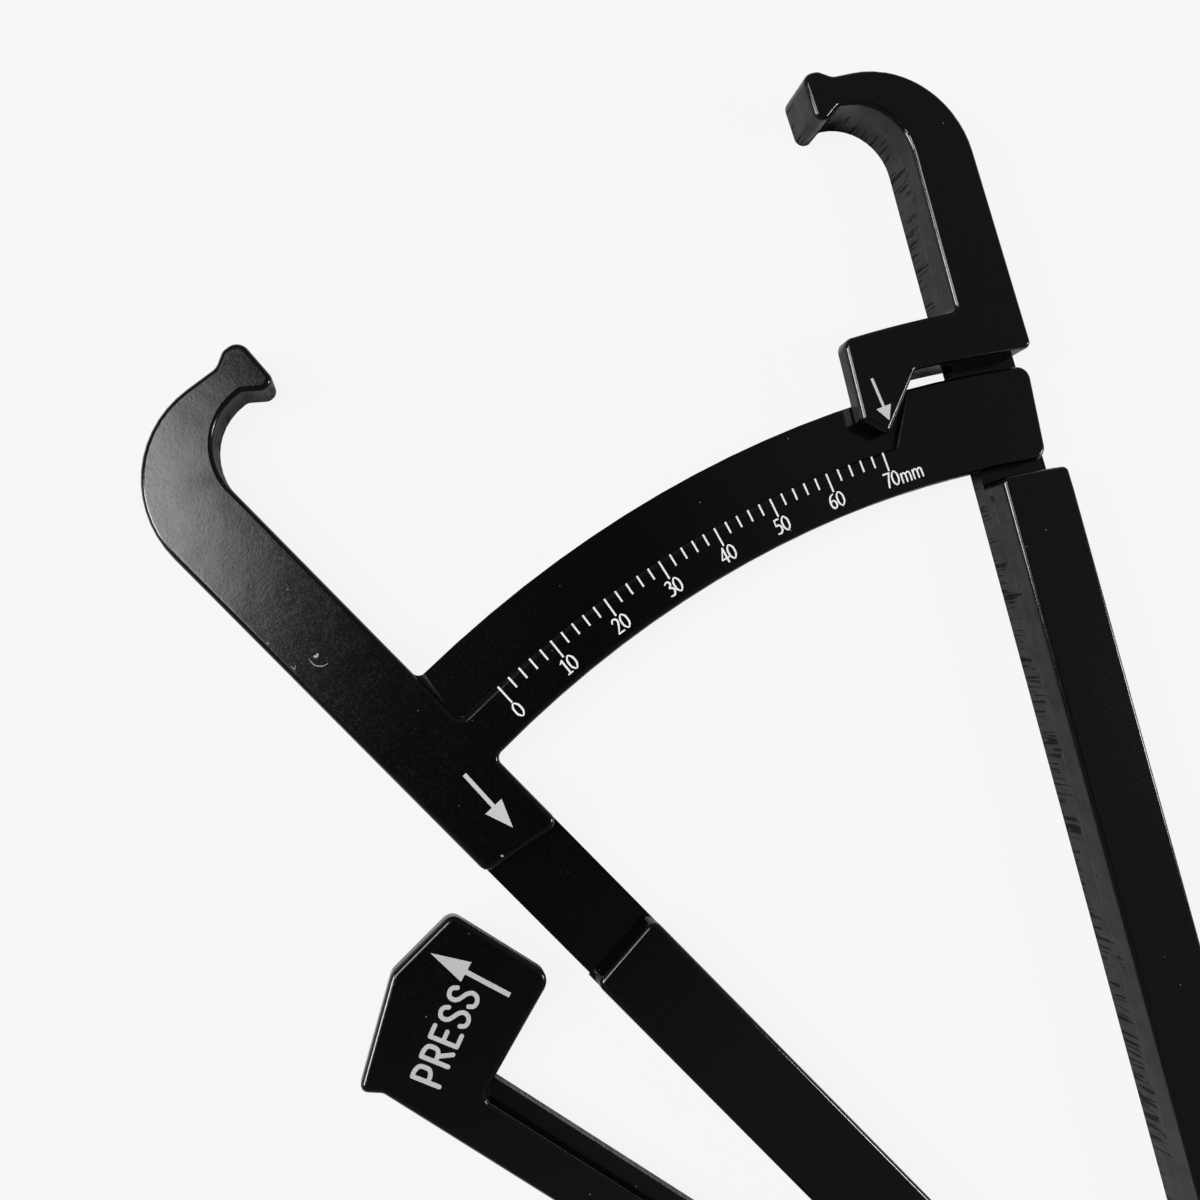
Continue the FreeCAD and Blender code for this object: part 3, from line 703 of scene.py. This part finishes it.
@dataclass(frozen=True)
class Stroke:
    """A pen stroke through a few points, with a width at each."""

    points: tuple[Pair, ...]
    widths: tuple[float, ...]
    smooth: bool = True
    closed: bool = False

    def path(self) -> list[tuple[Vector, float]]:
        """The stroke's centre line.

        Returns:
            Points with the pen's width at each.
        """
        knots = [Vector(p) for p in self.points]
        count = len(knots)
        wide = list(self.widths) * (count if len(self.widths) == 1 else 1)
        if not self.smooth:
            return list(zip(knots, wide))
        spans = count if self.closed else count - 1
        line = []
        for i in range(spans):
            around = [(i - 1) % count, i, (i + 1) % count, (i + 2) % count]
            if not self.closed:
                around = [max(i - 1, 0), i, i + 1, min(i + 2, count - 1)]
            a, b, c, d = (knots[k] for k in around)
            for step in range(CURVE_STEPS):
                t = step / CURVE_STEPS
                point = 0.5 * (2 * b + (c - a) * t + (2 * a - 5 * b + 4 * c - d) * t * t
                               + (3 * b - a - 3 * c + d) * t ** 3)
                line.append((point, wide[around[1]] * (1 - t) + wide[around[2]] * t))
        if not self.closed:
            line.append((knots[-1], wide[-1]))
        return line

    def outlines(self) -> list[list[Vector]]:
        """Small closed polygons that together cover the stroke.

        Returns:
            One quadrilateral for each span and one disc for each bend.
        """
        line = self.path()
        if self.closed:
            line.append(line[0])
        shapes = []
        for (a, wa), (b, wb) in zip(line, line[1:]):
            along = b - a
            if along.length < SHORTEST:
                continue
            across = Vector((-along.y, along.x)).normalized() / 2
            shapes.append([a - across * wa, b - across * wb, b + across * wb, a + across * wa])
        turns = [k * math.pi / (DISC_CORNERS / 2) for k in range(DISC_CORNERS)]
        for point, wide in line:
            shapes.append([point + Vector((math.cos(turn), math.sin(turn))) * wide / 2
                           for turn in turns])
        return shapes


def pen(points: Sequence[Pair], *widths: float, smooth: bool = True,
        closed: bool = False) -> Stroke:
    """A stroke through points, with one width or one for each point."""
    return Stroke(tuple(points), widths, smooth, closed)


# the pen's widths, for capitals 1 high
THIN = 0.078
FULL = 0.122
BOLD = 0.132

# each glyph's advance and strokes
GLYPHS: dict[str, tuple[float, tuple[Stroke, ...]]] = {
    "0": (0.56, (pen([(0.27, 0.95), (0.09, 0.74), (0.06, 0.5), (0.09, 0.25), (0.27, 0.04),
                      (0.45, 0.25), (0.48, 0.5), (0.45, 0.74)],
                     THIN, 0.12, FULL, 0.12, THIN, 0.12, FULL, 0.12, closed=True),)),
    "1": (0.46, (pen([(0.26, 0.94), (0.26, 0.05)], FULL, smooth=False),
                 pen([(0.08, 0.83), (0.26, 0.93)], THIN, smooth=False),
                 pen([(0.1, 0.04), (0.42, 0.04)], THIN, smooth=False))),
    "2": (0.54, (pen([(0.07, 0.77), (0.14, 0.91), (0.27, 0.95), (0.41, 0.86), (0.42, 0.68),
                      (0.3, 0.42), (0.08, 0.07)],
                     THIN, 0.11, 0.11, FULL, FULL, 0.11, THIN),
                 pen([(0.08, 0.05), (0.47, 0.05)], 0.1, smooth=False))),
    "3": (0.52, (pen([(0.07, 0.87), (0.2, 0.95), (0.36, 0.88), (0.37, 0.7), (0.2, 0.55)],
                     THIN, 0.1, FULL, FULL, THIN),
                 pen([(0.2, 0.55), (0.4, 0.46), (0.44, 0.26), (0.3, 0.06), (0.06, 0.07)],
                     THIN, FULL, FULL, 0.12, THIN))),
    "4": (0.56, (pen([(0.38, 0.94), (0.04, 0.31)], THIN, smooth=False),
                 pen([(0.04, 0.29), (0.51, 0.29)], 0.1, smooth=False),
                 pen([(0.38, 0.94), (0.38, 0.03)], FULL, smooth=False))),
    "5": (0.52, (pen([(0.15, 0.93), (0.43, 0.93)], 0.11, smooth=False),
                 pen([(0.15, 0.93), (0.12, 0.56)], THIN, smooth=False),
                 pen([(0.12, 0.56), (0.28, 0.57), (0.42, 0.43), (0.41, 0.2), (0.26, 0.05),
                      (0.06, 0.06)], 0.1, 0.12, FULL, FULL, 0.12, THIN))),
    "6": (0.55, (pen([(0.42, 0.93), (0.22, 0.83), (0.1, 0.6), (0.08, 0.3), (0.17, 0.1),
                      (0.3, 0.05), (0.43, 0.17), (0.45, 0.34), (0.36, 0.51), (0.22, 0.53),
                      (0.1, 0.4)],
                     THIN, 0.11, FULL, FULL, 0.12, 0.1, FULL, FULL, 0.11, THIN, THIN),)),
    "7": (0.52, (pen([(0.05, 0.92), (0.46, 0.92)], 0.11, smooth=False),
                 pen([(0.45, 0.9), (0.31, 0.5), (0.2, 0.03)], 0.1, 0.12, FULL))),
    "m": (0.86, (pen([(0.09, 0.62), (0.09, 0.04)], 0.11, smooth=False),
                 pen([(0.09, 0.46), (0.2, 0.61), (0.34, 0.6), (0.4, 0.45), (0.4, 0.04)],
                     THIN, 0.1, 0.11, 0.12, 0.11),
                 pen([(0.4, 0.46), (0.51, 0.61), (0.65, 0.6), (0.71, 0.45), (0.71, 0.04)],
                     THIN, 0.1, 0.11, 0.12, 0.11))),
    "P": (0.57, (pen([(0.1, 0.92), (0.1, 0.07)], BOLD, smooth=False),
                 pen([(0.1, 0.92), (0.27, 0.92), (0.42, 0.84), (0.45, 0.68), (0.42, 0.52),
                      (0.27, 0.44), (0.1, 0.44)], BOLD))),
    "R": (0.58, (pen([(0.1, 0.92), (0.1, 0.07)], BOLD, smooth=False),
                 pen([(0.1, 0.92), (0.27, 0.92), (0.42, 0.85), (0.45, 0.7), (0.42, 0.55),
                      (0.27, 0.48), (0.1, 0.48)], BOLD),
                 pen([(0.27, 0.46), (0.46, 0.08)], BOLD, smooth=False))),
    "E": (0.53, (pen([(0.43, 0.92), (0.1, 0.92), (0.1, 0.07), (0.43, 0.07)], BOLD,
                     smooth=False),
                 pen([(0.1, 0.51), (0.39, 0.51)], BOLD, smooth=False))),
    "S": (0.57, (pen([(0.44, 0.76), (0.38, 0.89), (0.26, 0.93), (0.13, 0.87), (0.09, 0.73),
                      (0.15, 0.6), (0.27, 0.51), (0.39, 0.42), (0.46, 0.28), (0.41, 0.13),
                      (0.27, 0.06), (0.13, 0.1), (0.07, 0.24)], BOLD),)),
}


@dataclass(frozen=True)
class Placement:
    """Where a print lies: the height of its top, a start, a turn and a size."""

    top: float
    start: Pair = (0.0, 0.0)
    turn: float = 0.0
    size: float = 1.0

    def at(self, point: Vector) -> Vector:
        """The point in space for a point of the print.

        Args:
            point: A point in the print's own plane, where capitals are 1 high.

        Returns:
            The point in metres, on the print's top.
        """
        c, s = math.cos(self.turn), math.sin(self.turn)
        x, y = point.x * self.size, point.y * self.size
        return Vector((self.start[0] + x * c - y * s, self.start[1] + x * s + y * c,
                       self.top)) * MM


# the kind of result asked of the triangulation, and how close it joins corners
TRIANGLES = 0
TRIANGLE_SLACK = 1e-5


def flat_union(name: str, shapes: Iterable[Sequence[Vector]], place: Placement,
               thick: float) -> bpy.types.Mesh:
    """Joins overlapping flat shapes into one thin closed print.

    Args:
        name: The mesh's name.
        shapes: Closed polygons in the plane.
        place: Where the print's top lies.
        thick: The print's thickness.

    Returns:
        The mesh.
    """
    points: list[Vector] = []
    faces: list[list[int]] = []
    for shape in shapes:
        turn = sum(a.x * b.y - b.x * a.y for a, b in zip(shape, [*shape[1:], shape[0]]))
        ordered = list(shape) if turn > 0 else list(reversed(shape))
        faces.append(list(range(len(points), len(points) + len(ordered))))
        points.extend(ordered)
    flat, _, cells, _, _, covers = geometry.delaunay_2d_cdt(
        points, [], faces, TRIANGLES, TRIANGLE_SLACK)
    shell = bmesh.new()
    tops = [shell.verts.new(place.at(point)) for point in flat]
    for cell, cover in zip(cells, covers):
        if cover:
            shell.faces.new([tops[i] for i in cell])
    bmesh.ops.recalc_face_normals(shell, faces=shell.faces)
    if sum(face.normal.z * face.calc_area() for face in shell.faces) < 0:
        bmesh.ops.reverse_faces(shell, faces=shell.faces)
    rim = [edge for edge in shell.edges if len(edge.link_faces) == 1]
    copied = bmesh.ops.duplicate(shell, geom=list(shell.faces))
    lower = [part for part in copied["geom"] if isinstance(part, bmesh.types.BMFace)]
    twin = {v: copied["vert_map"][v] for v in tops if v in copied["vert_map"]}
    for vert in {v for face in lower for v in face.verts}:
        vert.co.z -= thick
    bmesh.ops.reverse_faces(shell, faces=lower)
    for edge in rim:
        loop = edge.link_loops[0]
        a, b = loop.vert, loop.link_loop_next.vert
        shell.faces.new([b, a, twin[a], twin[b]])
    loose = [vert for vert in shell.verts if not vert.link_faces]
    bmesh.ops.delete(shell, geom=loose, context="VERTS")
    return stored(shell, name)


def printed(name: str, shapes: Iterable[Sequence[Vector]], place: Placement, ink: Finish,
            body: Body) -> bpy.types.Object:
    """Makes a print of flat shapes and lets it ride on a body.

    Args:
        name: The piece's name.
        shapes: Closed polygons in the plane.
        place: Where the print's top lies.
        ink: Its ink.
        body: The body that it moves with.

    Returns:
        The piece.
    """
    mesh = flat_union(name, shapes, place, PRINT_THICK)
    return new_piece(name, mesh, ink, body)


def text_shapes(text: str, pitch: Optional[float] = None) -> tuple[list[list[Vector]], float]:
    """The polygons of a line of text, and its length.

    Args:
        text: The characters, each with a glyph.
        pitch: Distance from one character to the next, or None for each one's own.

    Returns:
        The polygons, and the length of the line for capitals 1 high.
    """
    shapes: list[list[Vector]] = []
    pen_at = 0.0
    for letter in text:
        advance, strokes = GLYPHS[letter]
        for stroke in strokes:
            for shape in stroke.outlines():
                shapes.append([p + Vector((pen_at, 0.0)) for p in shape])
        pen_at += pitch or advance
    return shapes, pen_at


@dataclass(frozen=True)
class Arrow:
    """An arrow, by its two ends across and along an arm.

    The head has a length and half a width, the shaft has a width, and the overlap is the
    part of the head that the shaft reaches into.
    """

    tail: Pair
    tip: Pair
    head: float
    half: float
    shaft: float
    overlap: float = 0.2

    def shapes(self, arm_turn: float = 0.0) -> list[list[Vector]]:
        """The arrow's polygons.

        Args:
            arm_turn: The arm's turn from +Y, in radians.

        Returns:
            The head and the shaft, in millimetres.
        """
        across_arm = Vector((math.cos(arm_turn), math.sin(arm_turn)))
        along_arm = Vector((-math.sin(arm_turn), math.cos(arm_turn)))
        tail, tip = (across_arm * x + along_arm * y for x, y in (self.tail, self.tip))
        along = (tip - tail).normalized()
        across = Vector((-along.y, along.x))
        neck = tip - along * self.head
        inner = neck + along * self.overlap * self.head
        side = across * self.shaft / 2
        return [[tip, neck + across * self.half, neck - across * self.half],
                [tail - side, inner - side, inner + side, tail + side]]


@dataclass
class ScaleMarks:
    """The millimetre marks along the band, each where the pointer stands at that opening."""

    count: int = 36
    step: float = 2.0
    major_every: int = 5
    jaw_radius: float = 174.5
    zero_turn: float = 13.29
    outer: float = 132.2
    minor: float = 1.42
    major: float = 2.28
    width: float = 0.21
    thick: float = 0.03
    face: float = ARM_FRONT

    def tree(self) -> bpy.types.NodeTree:
        """Builds the tree that sets one bar for each mark.

        Returns:
            The tree, with an input for each size.
        """
        tree = bpy.data.node_groups.new("scale_marks", "GeometryNodeTree")
        sockets = tree.interface
        sockets.new_socket("Geometry", in_out="INPUT", socket_type="NodeSocketGeometry")
        for name in self.inputs():
            kind = "NodeSocketInt" if name == "Count" else "NodeSocketFloat"
            sockets.new_socket(name, in_out="INPUT", socket_type=kind)
        sockets.new_socket("Ink", in_out="INPUT", socket_type="NodeSocketMaterial")
        sockets.new_socket("Geometry", in_out="OUTPUT", socket_type="NodeSocketGeometry")
        graph = NodeGraph(tree)
        given = graph.add("NodeGroupInput").outputs

        # the turn of each mark: the arms' angle for its opening, back from the zero mark
        index = graph.add("GeometryNodeInputIndex").outputs[0]
        opening = graph.math("MULTIPLY", index, given["Step"])
        share = graph.math("DIVIDE", opening, graph.math("MULTIPLY", given["Jaw radius"], 2))
        turned = graph.math("MULTIPLY", graph.math("ARCSINE", share), 2)
        turn = graph.math("SUBTRACT", given["Zero turn"], turned)

        # longer marks at the tens; all start at the same outer radius
        tenth = graph.math("LESS_THAN", graph.math("MODULO", index, self.major_every), 0.5)
        extra = graph.math("SUBTRACT", given["Major"], given["Minor"])
        length = graph.math("ADD", given["Minor"], graph.math("MULTIPLY", extra, tenth))
        radius = graph.math("SUBTRACT", given["Outer"], graph.math("DIVIDE", length, 2))

        # a bar's middle lies a third of its thickness up, so that its foot sinks in
        left = graph.math("MULTIPLY", graph.math("SINE", turn), -1)
        place = graph.add("ShaderNodeCombineXYZ", {
            "X": graph.math("MULTIPLY", left, radius),
            "Y": graph.math("MULTIPLY", graph.math("COSINE", turn), radius),
            "Z": graph.math("ADD", given["Face"], graph.math("DIVIDE", given["Thick"], 3))})
        line = graph.add("GeometryNodeMeshLine", {"Count": given["Count"]})
        dots = graph.add("GeometryNodeSetPosition", {
            "Geometry": line.outputs[0], "Position": place.outputs[0]})
        bar = graph.add("GeometryNodeMeshCube", {"Size": (1.0, 1.0, 1.0)})
        spin = graph.add("ShaderNodeCombineXYZ", {"Z": turn})
        size = graph.add("ShaderNodeCombineXYZ", {
            "X": given["Width"], "Y": length, "Z": given["Thick"]})
        bars = graph.add("GeometryNodeInstanceOnPoints", {
            "Points": dots.outputs[0], "Instance": bar.outputs[0],
            "Rotation": spin.outputs[0], "Scale": size.outputs[0]})
        real = graph.add("GeometryNodeRealizeInstances", {"Geometry": bars.outputs[0]})
        inked = graph.add("GeometryNodeSetMaterial", {
            "Geometry": real.outputs[0], "Material": given["Ink"]})
        graph.add("NodeGroupOutput", {0: inked.outputs[0]})
        return tree

    def inputs(self) -> dict[str, float]:
        """The tree's inputs by name, in metres and radians."""
        return {
            "Count": self.count, "Step": self.step * MM, "Jaw radius": self.jaw_radius * MM,
            "Zero turn": math.radians(self.zero_turn), "Outer": self.outer * MM,
            "Minor": self.minor * MM, "Major": self.major * MM, "Width": self.width * MM,
            "Thick": self.thick * MM, "Face": self.face * MM,
        }

    def build(self) -> bpy.types.Object:
        """Makes the marks.

        Returns:
            The piece.
        """
        holder = bpy.data.objects.new("scale_marks_work", bpy.data.meshes.new("scale_marks"))
        bpy.context.scene.collection.objects.link(holder)
        tree = self.tree()
        modifier = holder.modifiers.new("marks", "NODES")
        modifier.node_group = tree
        keys = {s.name: s.identifier for s in tree.interface.items_tree
                if s.item_type == "SOCKET" and s.in_out == "INPUT"}
        for name, value in self.inputs().items():
            modifier[keys[name]] = value
        modifier[keys["Ink"]] = INK.material()
        return new_piece("scale_marks", applied(holder), INK, Body.SCALE)


@dataclass
class ScalePrints:
    """Digits and arrow printed on the scale arm."""

    marks: ScaleMarks = field(default_factory=ScaleMarks)
    last: int = 70
    every: int = 10
    unit: str = "mm"
    unit_gap: float = 0.06
    digit_radius: float = 128.0
    digit_size: float = 1.85
    top: float = ARM_FRONT + PRINT_LIFT
    arrow: Arrow = Arrow((-12.3, 127.5), (-12.15, 119.8), head=3.1, half=1.16, shaft=0.46)

    def digit_turn(self, opening: float) -> float:
        """The turn from +Y, in radians, of the mark at an opening in millimetres."""
        half_turn = math.asin(opening / 2 / self.marks.jaw_radius)
        return math.radians(self.marks.zero_turn) - 2 * half_turn

    def build(self) -> list[bpy.types.Object]:
        """Makes the digits and the arrow.

        Returns:
            The pieces.
        """
        pieces = []
        for opening in range(0, self.last + 1, self.every):
            text = f"{opening}"
            shapes, length = text_shapes(text)
            turn = self.digit_turn(opening)
            if opening == self.last:
                unit, _ = text_shapes(self.unit)
                gap = Vector((length + self.unit_gap, 0.0))
                shapes += [[point + gap for point in shape] for shape in unit]
            centre = Vector((-math.sin(turn), math.cos(turn))) * self.digit_radius
            along = Vector((math.cos(turn), math.sin(turn)))
            start = centre - along * length * self.digit_size / 2
            line = Placement(self.top, tuple(start), turn, self.digit_size)
            pieces.append(printed(f"digits_{text}", shapes, line, INK, Body.SCALE))
        pieces.append(printed("arm_arrow", self.arrow.shapes(HALF_OPENING),
                              Placement(self.top), LABEL_INK, Body.SCALE))
        return pieces


@dataclass
class ArmScuffs:
    """A few small scuffs on the front of the scale arm."""

    top: float = ARM_FRONT + 0.01
    thick: float = 0.02 * MM
    strokes: tuple[Stroke, ...] = (
        pen([(-45.45, 140.85), (-45.25, 140.75), (-45.1, 140.9)], 0.26),
        pen([(-46.05, 140.9), (-45.9, 140.1), (-45.3, 139.6), (-44.6, 139.55)],
            0.05, 0.09, 0.09, 0.04),
        pen([(-47.95, 141.05), (-47.85, 140.6), (-47.55, 140.95)], 0.06, smooth=False),
        pen([(-48.9, 144.4), (-48.85, 144.25)], 0.1, smooth=False),
        pen([(-38.75, 112.9), (-38.65, 112.8)], 0.2, smooth=False),
    )

    def build(self) -> bpy.types.Object:
        """Makes the scuffs.

        Returns:
            The piece.
        """
        shapes = [shape for stroke in self.strokes for shape in stroke.outlines()]
        mesh = flat_union("arm_scuffs", shapes, Placement(self.top), self.thick)
        return new_piece("arm_scuffs", mesh, SCUFF, Body.SCALE)


@dataclass
class PointerPrint:
    """Arrow printed on the pointer."""

    top: float = POINTER_FRONT + PRINT_LIFT
    arrow: Arrow = Arrow((-3.7, 140.7), (-3.2, 135.4), head=1.75, half=1.0, shaft=0.34)

    def build(self) -> bpy.types.Object:
        """Makes the arrow.

        Returns:
            The piece.
        """
        return printed("pointer_arrow", self.arrow.shapes(-HALF_OPENING),
                       Placement(self.top), LABEL_INK, Body.POINTER)


@dataclass
class TabPrints:
    """Word and arrow printed on the press tab."""

    top: float = ARM_FRONT + PRINT_LIFT
    word: str = "PRESS"
    word_start: Pair = (-55.75, 95.45)
    word_turn: float = math.radians(35.9)
    word_size: float = 3.56
    word_pitch: float = 0.593
    arrow: Arrow = Arrow((-45.0, 99.9), (-49.9, 108.1), head=4.28, half=1.11, shaft=0.52)

    def build(self) -> list[bpy.types.Object]:
        """Makes the word and the arrow.

        Returns:
            The pieces.
        """
        shapes, _ = text_shapes(self.word, self.word_pitch)
        line = Placement(self.top, self.word_start, self.word_turn, self.word_size)
        return [printed("press_word", shapes, line, TAB_INK, Body.LEVER),
                printed("press_arrow", self.arrow.shapes(), Placement(self.top), TAB_INK,
                        Body.LEVER)]


# -------------------- studio

@dataclass(frozen=True)
class SoftBox:
    """A square lamp that faces a point."""

    name: str
    place: Triple
    size: Pair
    power: float
    aim: Triple = (0.0, 0.1, 0.0)

    def build(self) -> None:
        """Adds the lamp to the scene."""
        light = bpy.data.lights.new(self.name, "AREA")
        light.shape = "RECTANGLE"
        light.size, light.size_y = self.size
        light.energy = self.power
        lamp = bpy.data.objects.new(self.name, light)
        bpy.context.scene.collection.objects.link(lamp)
        lamp.location = self.place
        facing = Vector(self.aim) - Vector(self.place)
        lamp.rotation_euler = facing.to_track_quat("-Z", "Y").to_euler()
        lamp.visible_camera = False


@dataclass
class Studio:
    """Pale floor, soft lamps, a darker ceiling and the camera.

    The dome gives two slopes of the surroundings' level over the height of a direction,
    each as its span and its levels. The window is a bright spot that fades from its
    direction outwards.
    """

    floor_tone: float = 0.94
    floor_shade: float = 0.7
    floor_glow: float = 0.94
    floor_half: float = 3.0
    eye: Triple = (-0.04073, 0.133309, 0.117634)
    aim: tuple[float, float, float, float] = (0.962056, 0.019252, -0.106401, -0.250512)
    lens: float = 31.4685
    sensor: float = 36.0
    clip: Pair = (0.005, 20.0)
    dome_low: tuple[Pair, Pair] = ((0.2, 0.72), (0.25, 0.13))
    dome_high: tuple[Pair, Pair] = ((0.9, 0.975), (0.13, 0.03))
    window: Triple = (-0.2525, 0.2941, 0.9218)
    window_glow: float = 4.0e-6
    window_fall: float = 3.6
    window_level: float = 7.5
    # a little over 1, so that the gap to the window's direction is never 0
    window_centre: float = 1.00001
    lamps: tuple[SoftBox, ...] = (
        SoftBox("glint", (0.768, -0.288, 0.5), (0.18, 0.18), 2.6),
        SoftBox("key", (-0.59, 0.41, 0.5), (0.3, 0.3), 5.0),
    )

    def camera(self) -> None:
        """Adds the camera and makes it the scene's own."""
        data = bpy.data.cameras.new("camera")
        data.lens = self.lens
        data.sensor_width = self.sensor
        data.clip_start, data.clip_end = self.clip
        camera = bpy.data.objects.new("camera", data)
        bpy.context.scene.collection.objects.link(camera)
        camera.location = self.eye
        camera.rotation_mode = "QUATERNION"
        camera.rotation_quaternion = Quaternion(self.aim)
        bpy.context.scene.camera = camera

    def floor(self) -> None:
        """Adds the floor, pale to the eye, with a faint shadow."""
        half = self.floor_half
        mesh = bpy.data.meshes.new("floor")
        corners = [(-half, -half, 0), (half, -half, 0), (half, half, 0), (-half, half, 0)]
        mesh.from_pydata(corners, [], [(0, 1, 2, 3)])
        floor = bpy.data.objects.new("floor", mesh)
        bpy.context.scene.collection.objects.link(floor)
        paint = bpy.data.materials.new("pale_floor")
        paint.use_nodes = True
        graph = NodeGraph(paint.node_tree)
        seen = graph.add("ShaderNodeLightPath").outputs["Is Camera Ray"]
        lit = graph.add("ShaderNodeBsdfDiffuse", {"Color": grey(self.floor_shade)})
        glow = graph.add("ShaderNodeEmission", {"Color": grey(self.floor_tone)})
        both = graph.add("ShaderNodeMixShader", {
            0: graph.math("MULTIPLY", seen, self.floor_glow), 1: lit.outputs[0],
            2: glow.outputs[0]})
        graph.add("ShaderNodeOutputMaterial", {"Surface": both.outputs[0]})
        mesh.materials.append(paint)

    def world(self) -> None:
        """Sets the surroundings: pale towards the horizon and dark overhead."""
        world = bpy.data.worlds.new("studio")
        bpy.context.scene.world = world
        world.use_nodes = True
        graph = NodeGraph(world.node_tree)
        way = graph.add("ShaderNodeTexCoord").outputs["Generated"]
        height = graph.add("ShaderNodeSeparateXYZ", {0: way}).outputs[2]
        dome = graph.math("MINIMUM", graph.remap(height, *self.dome_low),
                          graph.remap(height, *self.dome_high))
        toward = graph.add("ShaderNodeVectorMath", {0: way, 1: self.window},
                           operation="DOT_PRODUCT").outputs["Value"]
        gap = graph.math("SUBTRACT", self.window_centre, toward)
        glow = graph.math("DIVIDE", self.window_glow,
                          graph.math("POWER", gap, self.window_fall))
        window = graph.math("MINIMUM", glow, self.window_level)
        seen = graph.add("ShaderNodeLightPath").outputs["Is Camera Ray"]
        colour = graph.mix(seen, graph.math("ADD", dome, window), grey(self.floor_tone))
        sky = graph.add("ShaderNodeBackground", {"Color": colour, "Strength": 1.0})
        graph.add("ShaderNodeOutputWorld", {"Surface": sky.outputs[0]})

    def build(self) -> None:
        """Adds the camera, the floor, the surroundings and the lamps."""
        bpy.context.scene.view_settings.view_transform = "Standard"
        self.camera()
        self.floor()
        self.world()
        for lamp in self.lamps:
            lamp.build()


# -------------------- assembly

@dataclass
class Hardware:
    """The small parts of the pivot and of the lever, which show their own solids."""

    finishes: dict[str, Finish] = field(default_factory=lambda: {
        "pivot_barrel": PLATED,
        "pivot_screw": PLATED,
        "flat_washer": PLATED,
        "spring_washer": WIRE,
        "pivot_spacer": NYLON,
        "lever_pin": PLATED,
        "lever_ring": WIRE,
    })

    def dress(self, nodes: dict[str, bpy.types.Object]) -> None:
        """Gives each part its finish.

        Args:
            nodes: The solids by name.
        """
        for name, finish in self.finishes.items():
            materials = nodes[name].data.materials
            materials.clear()
            materials.append(finish.material())
            LOG.info("%s: %s", name, finish.name)


MOULDINGS: dict[str, Body] = {
    "scale_arm": Body.SCALE,
    "pointer_arm": Body.POINTER,
    "press_lever": Body.LEVER,
    "pivot_cap": Body.POINTER,
}


def main() -> None:
    """Builds the scene around the solid model, one class after another."""
    logging.basicConfig(level=logging.INFO, format="%(name)s: %(message)s")
    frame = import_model()
    Studio().build()
    for name, body in MOULDINGS.items():
        ramp = Ramp() if name == "scale_arm" else None
        SoftenedMoulding(frame["nodes"][name], body, ramp).build()
    Hardware().dress(frame["nodes"])
    WindingSpring(frame["nodes"]["lever_spring"]).build()
    ScaleMarks().build()
    ScalePrints().build()
    ArmScuffs().build()
    PointerPrint().build()
    TabPrints().build()
    bpy.context.view_layer.update()


if __name__ == "__main__":
    main()
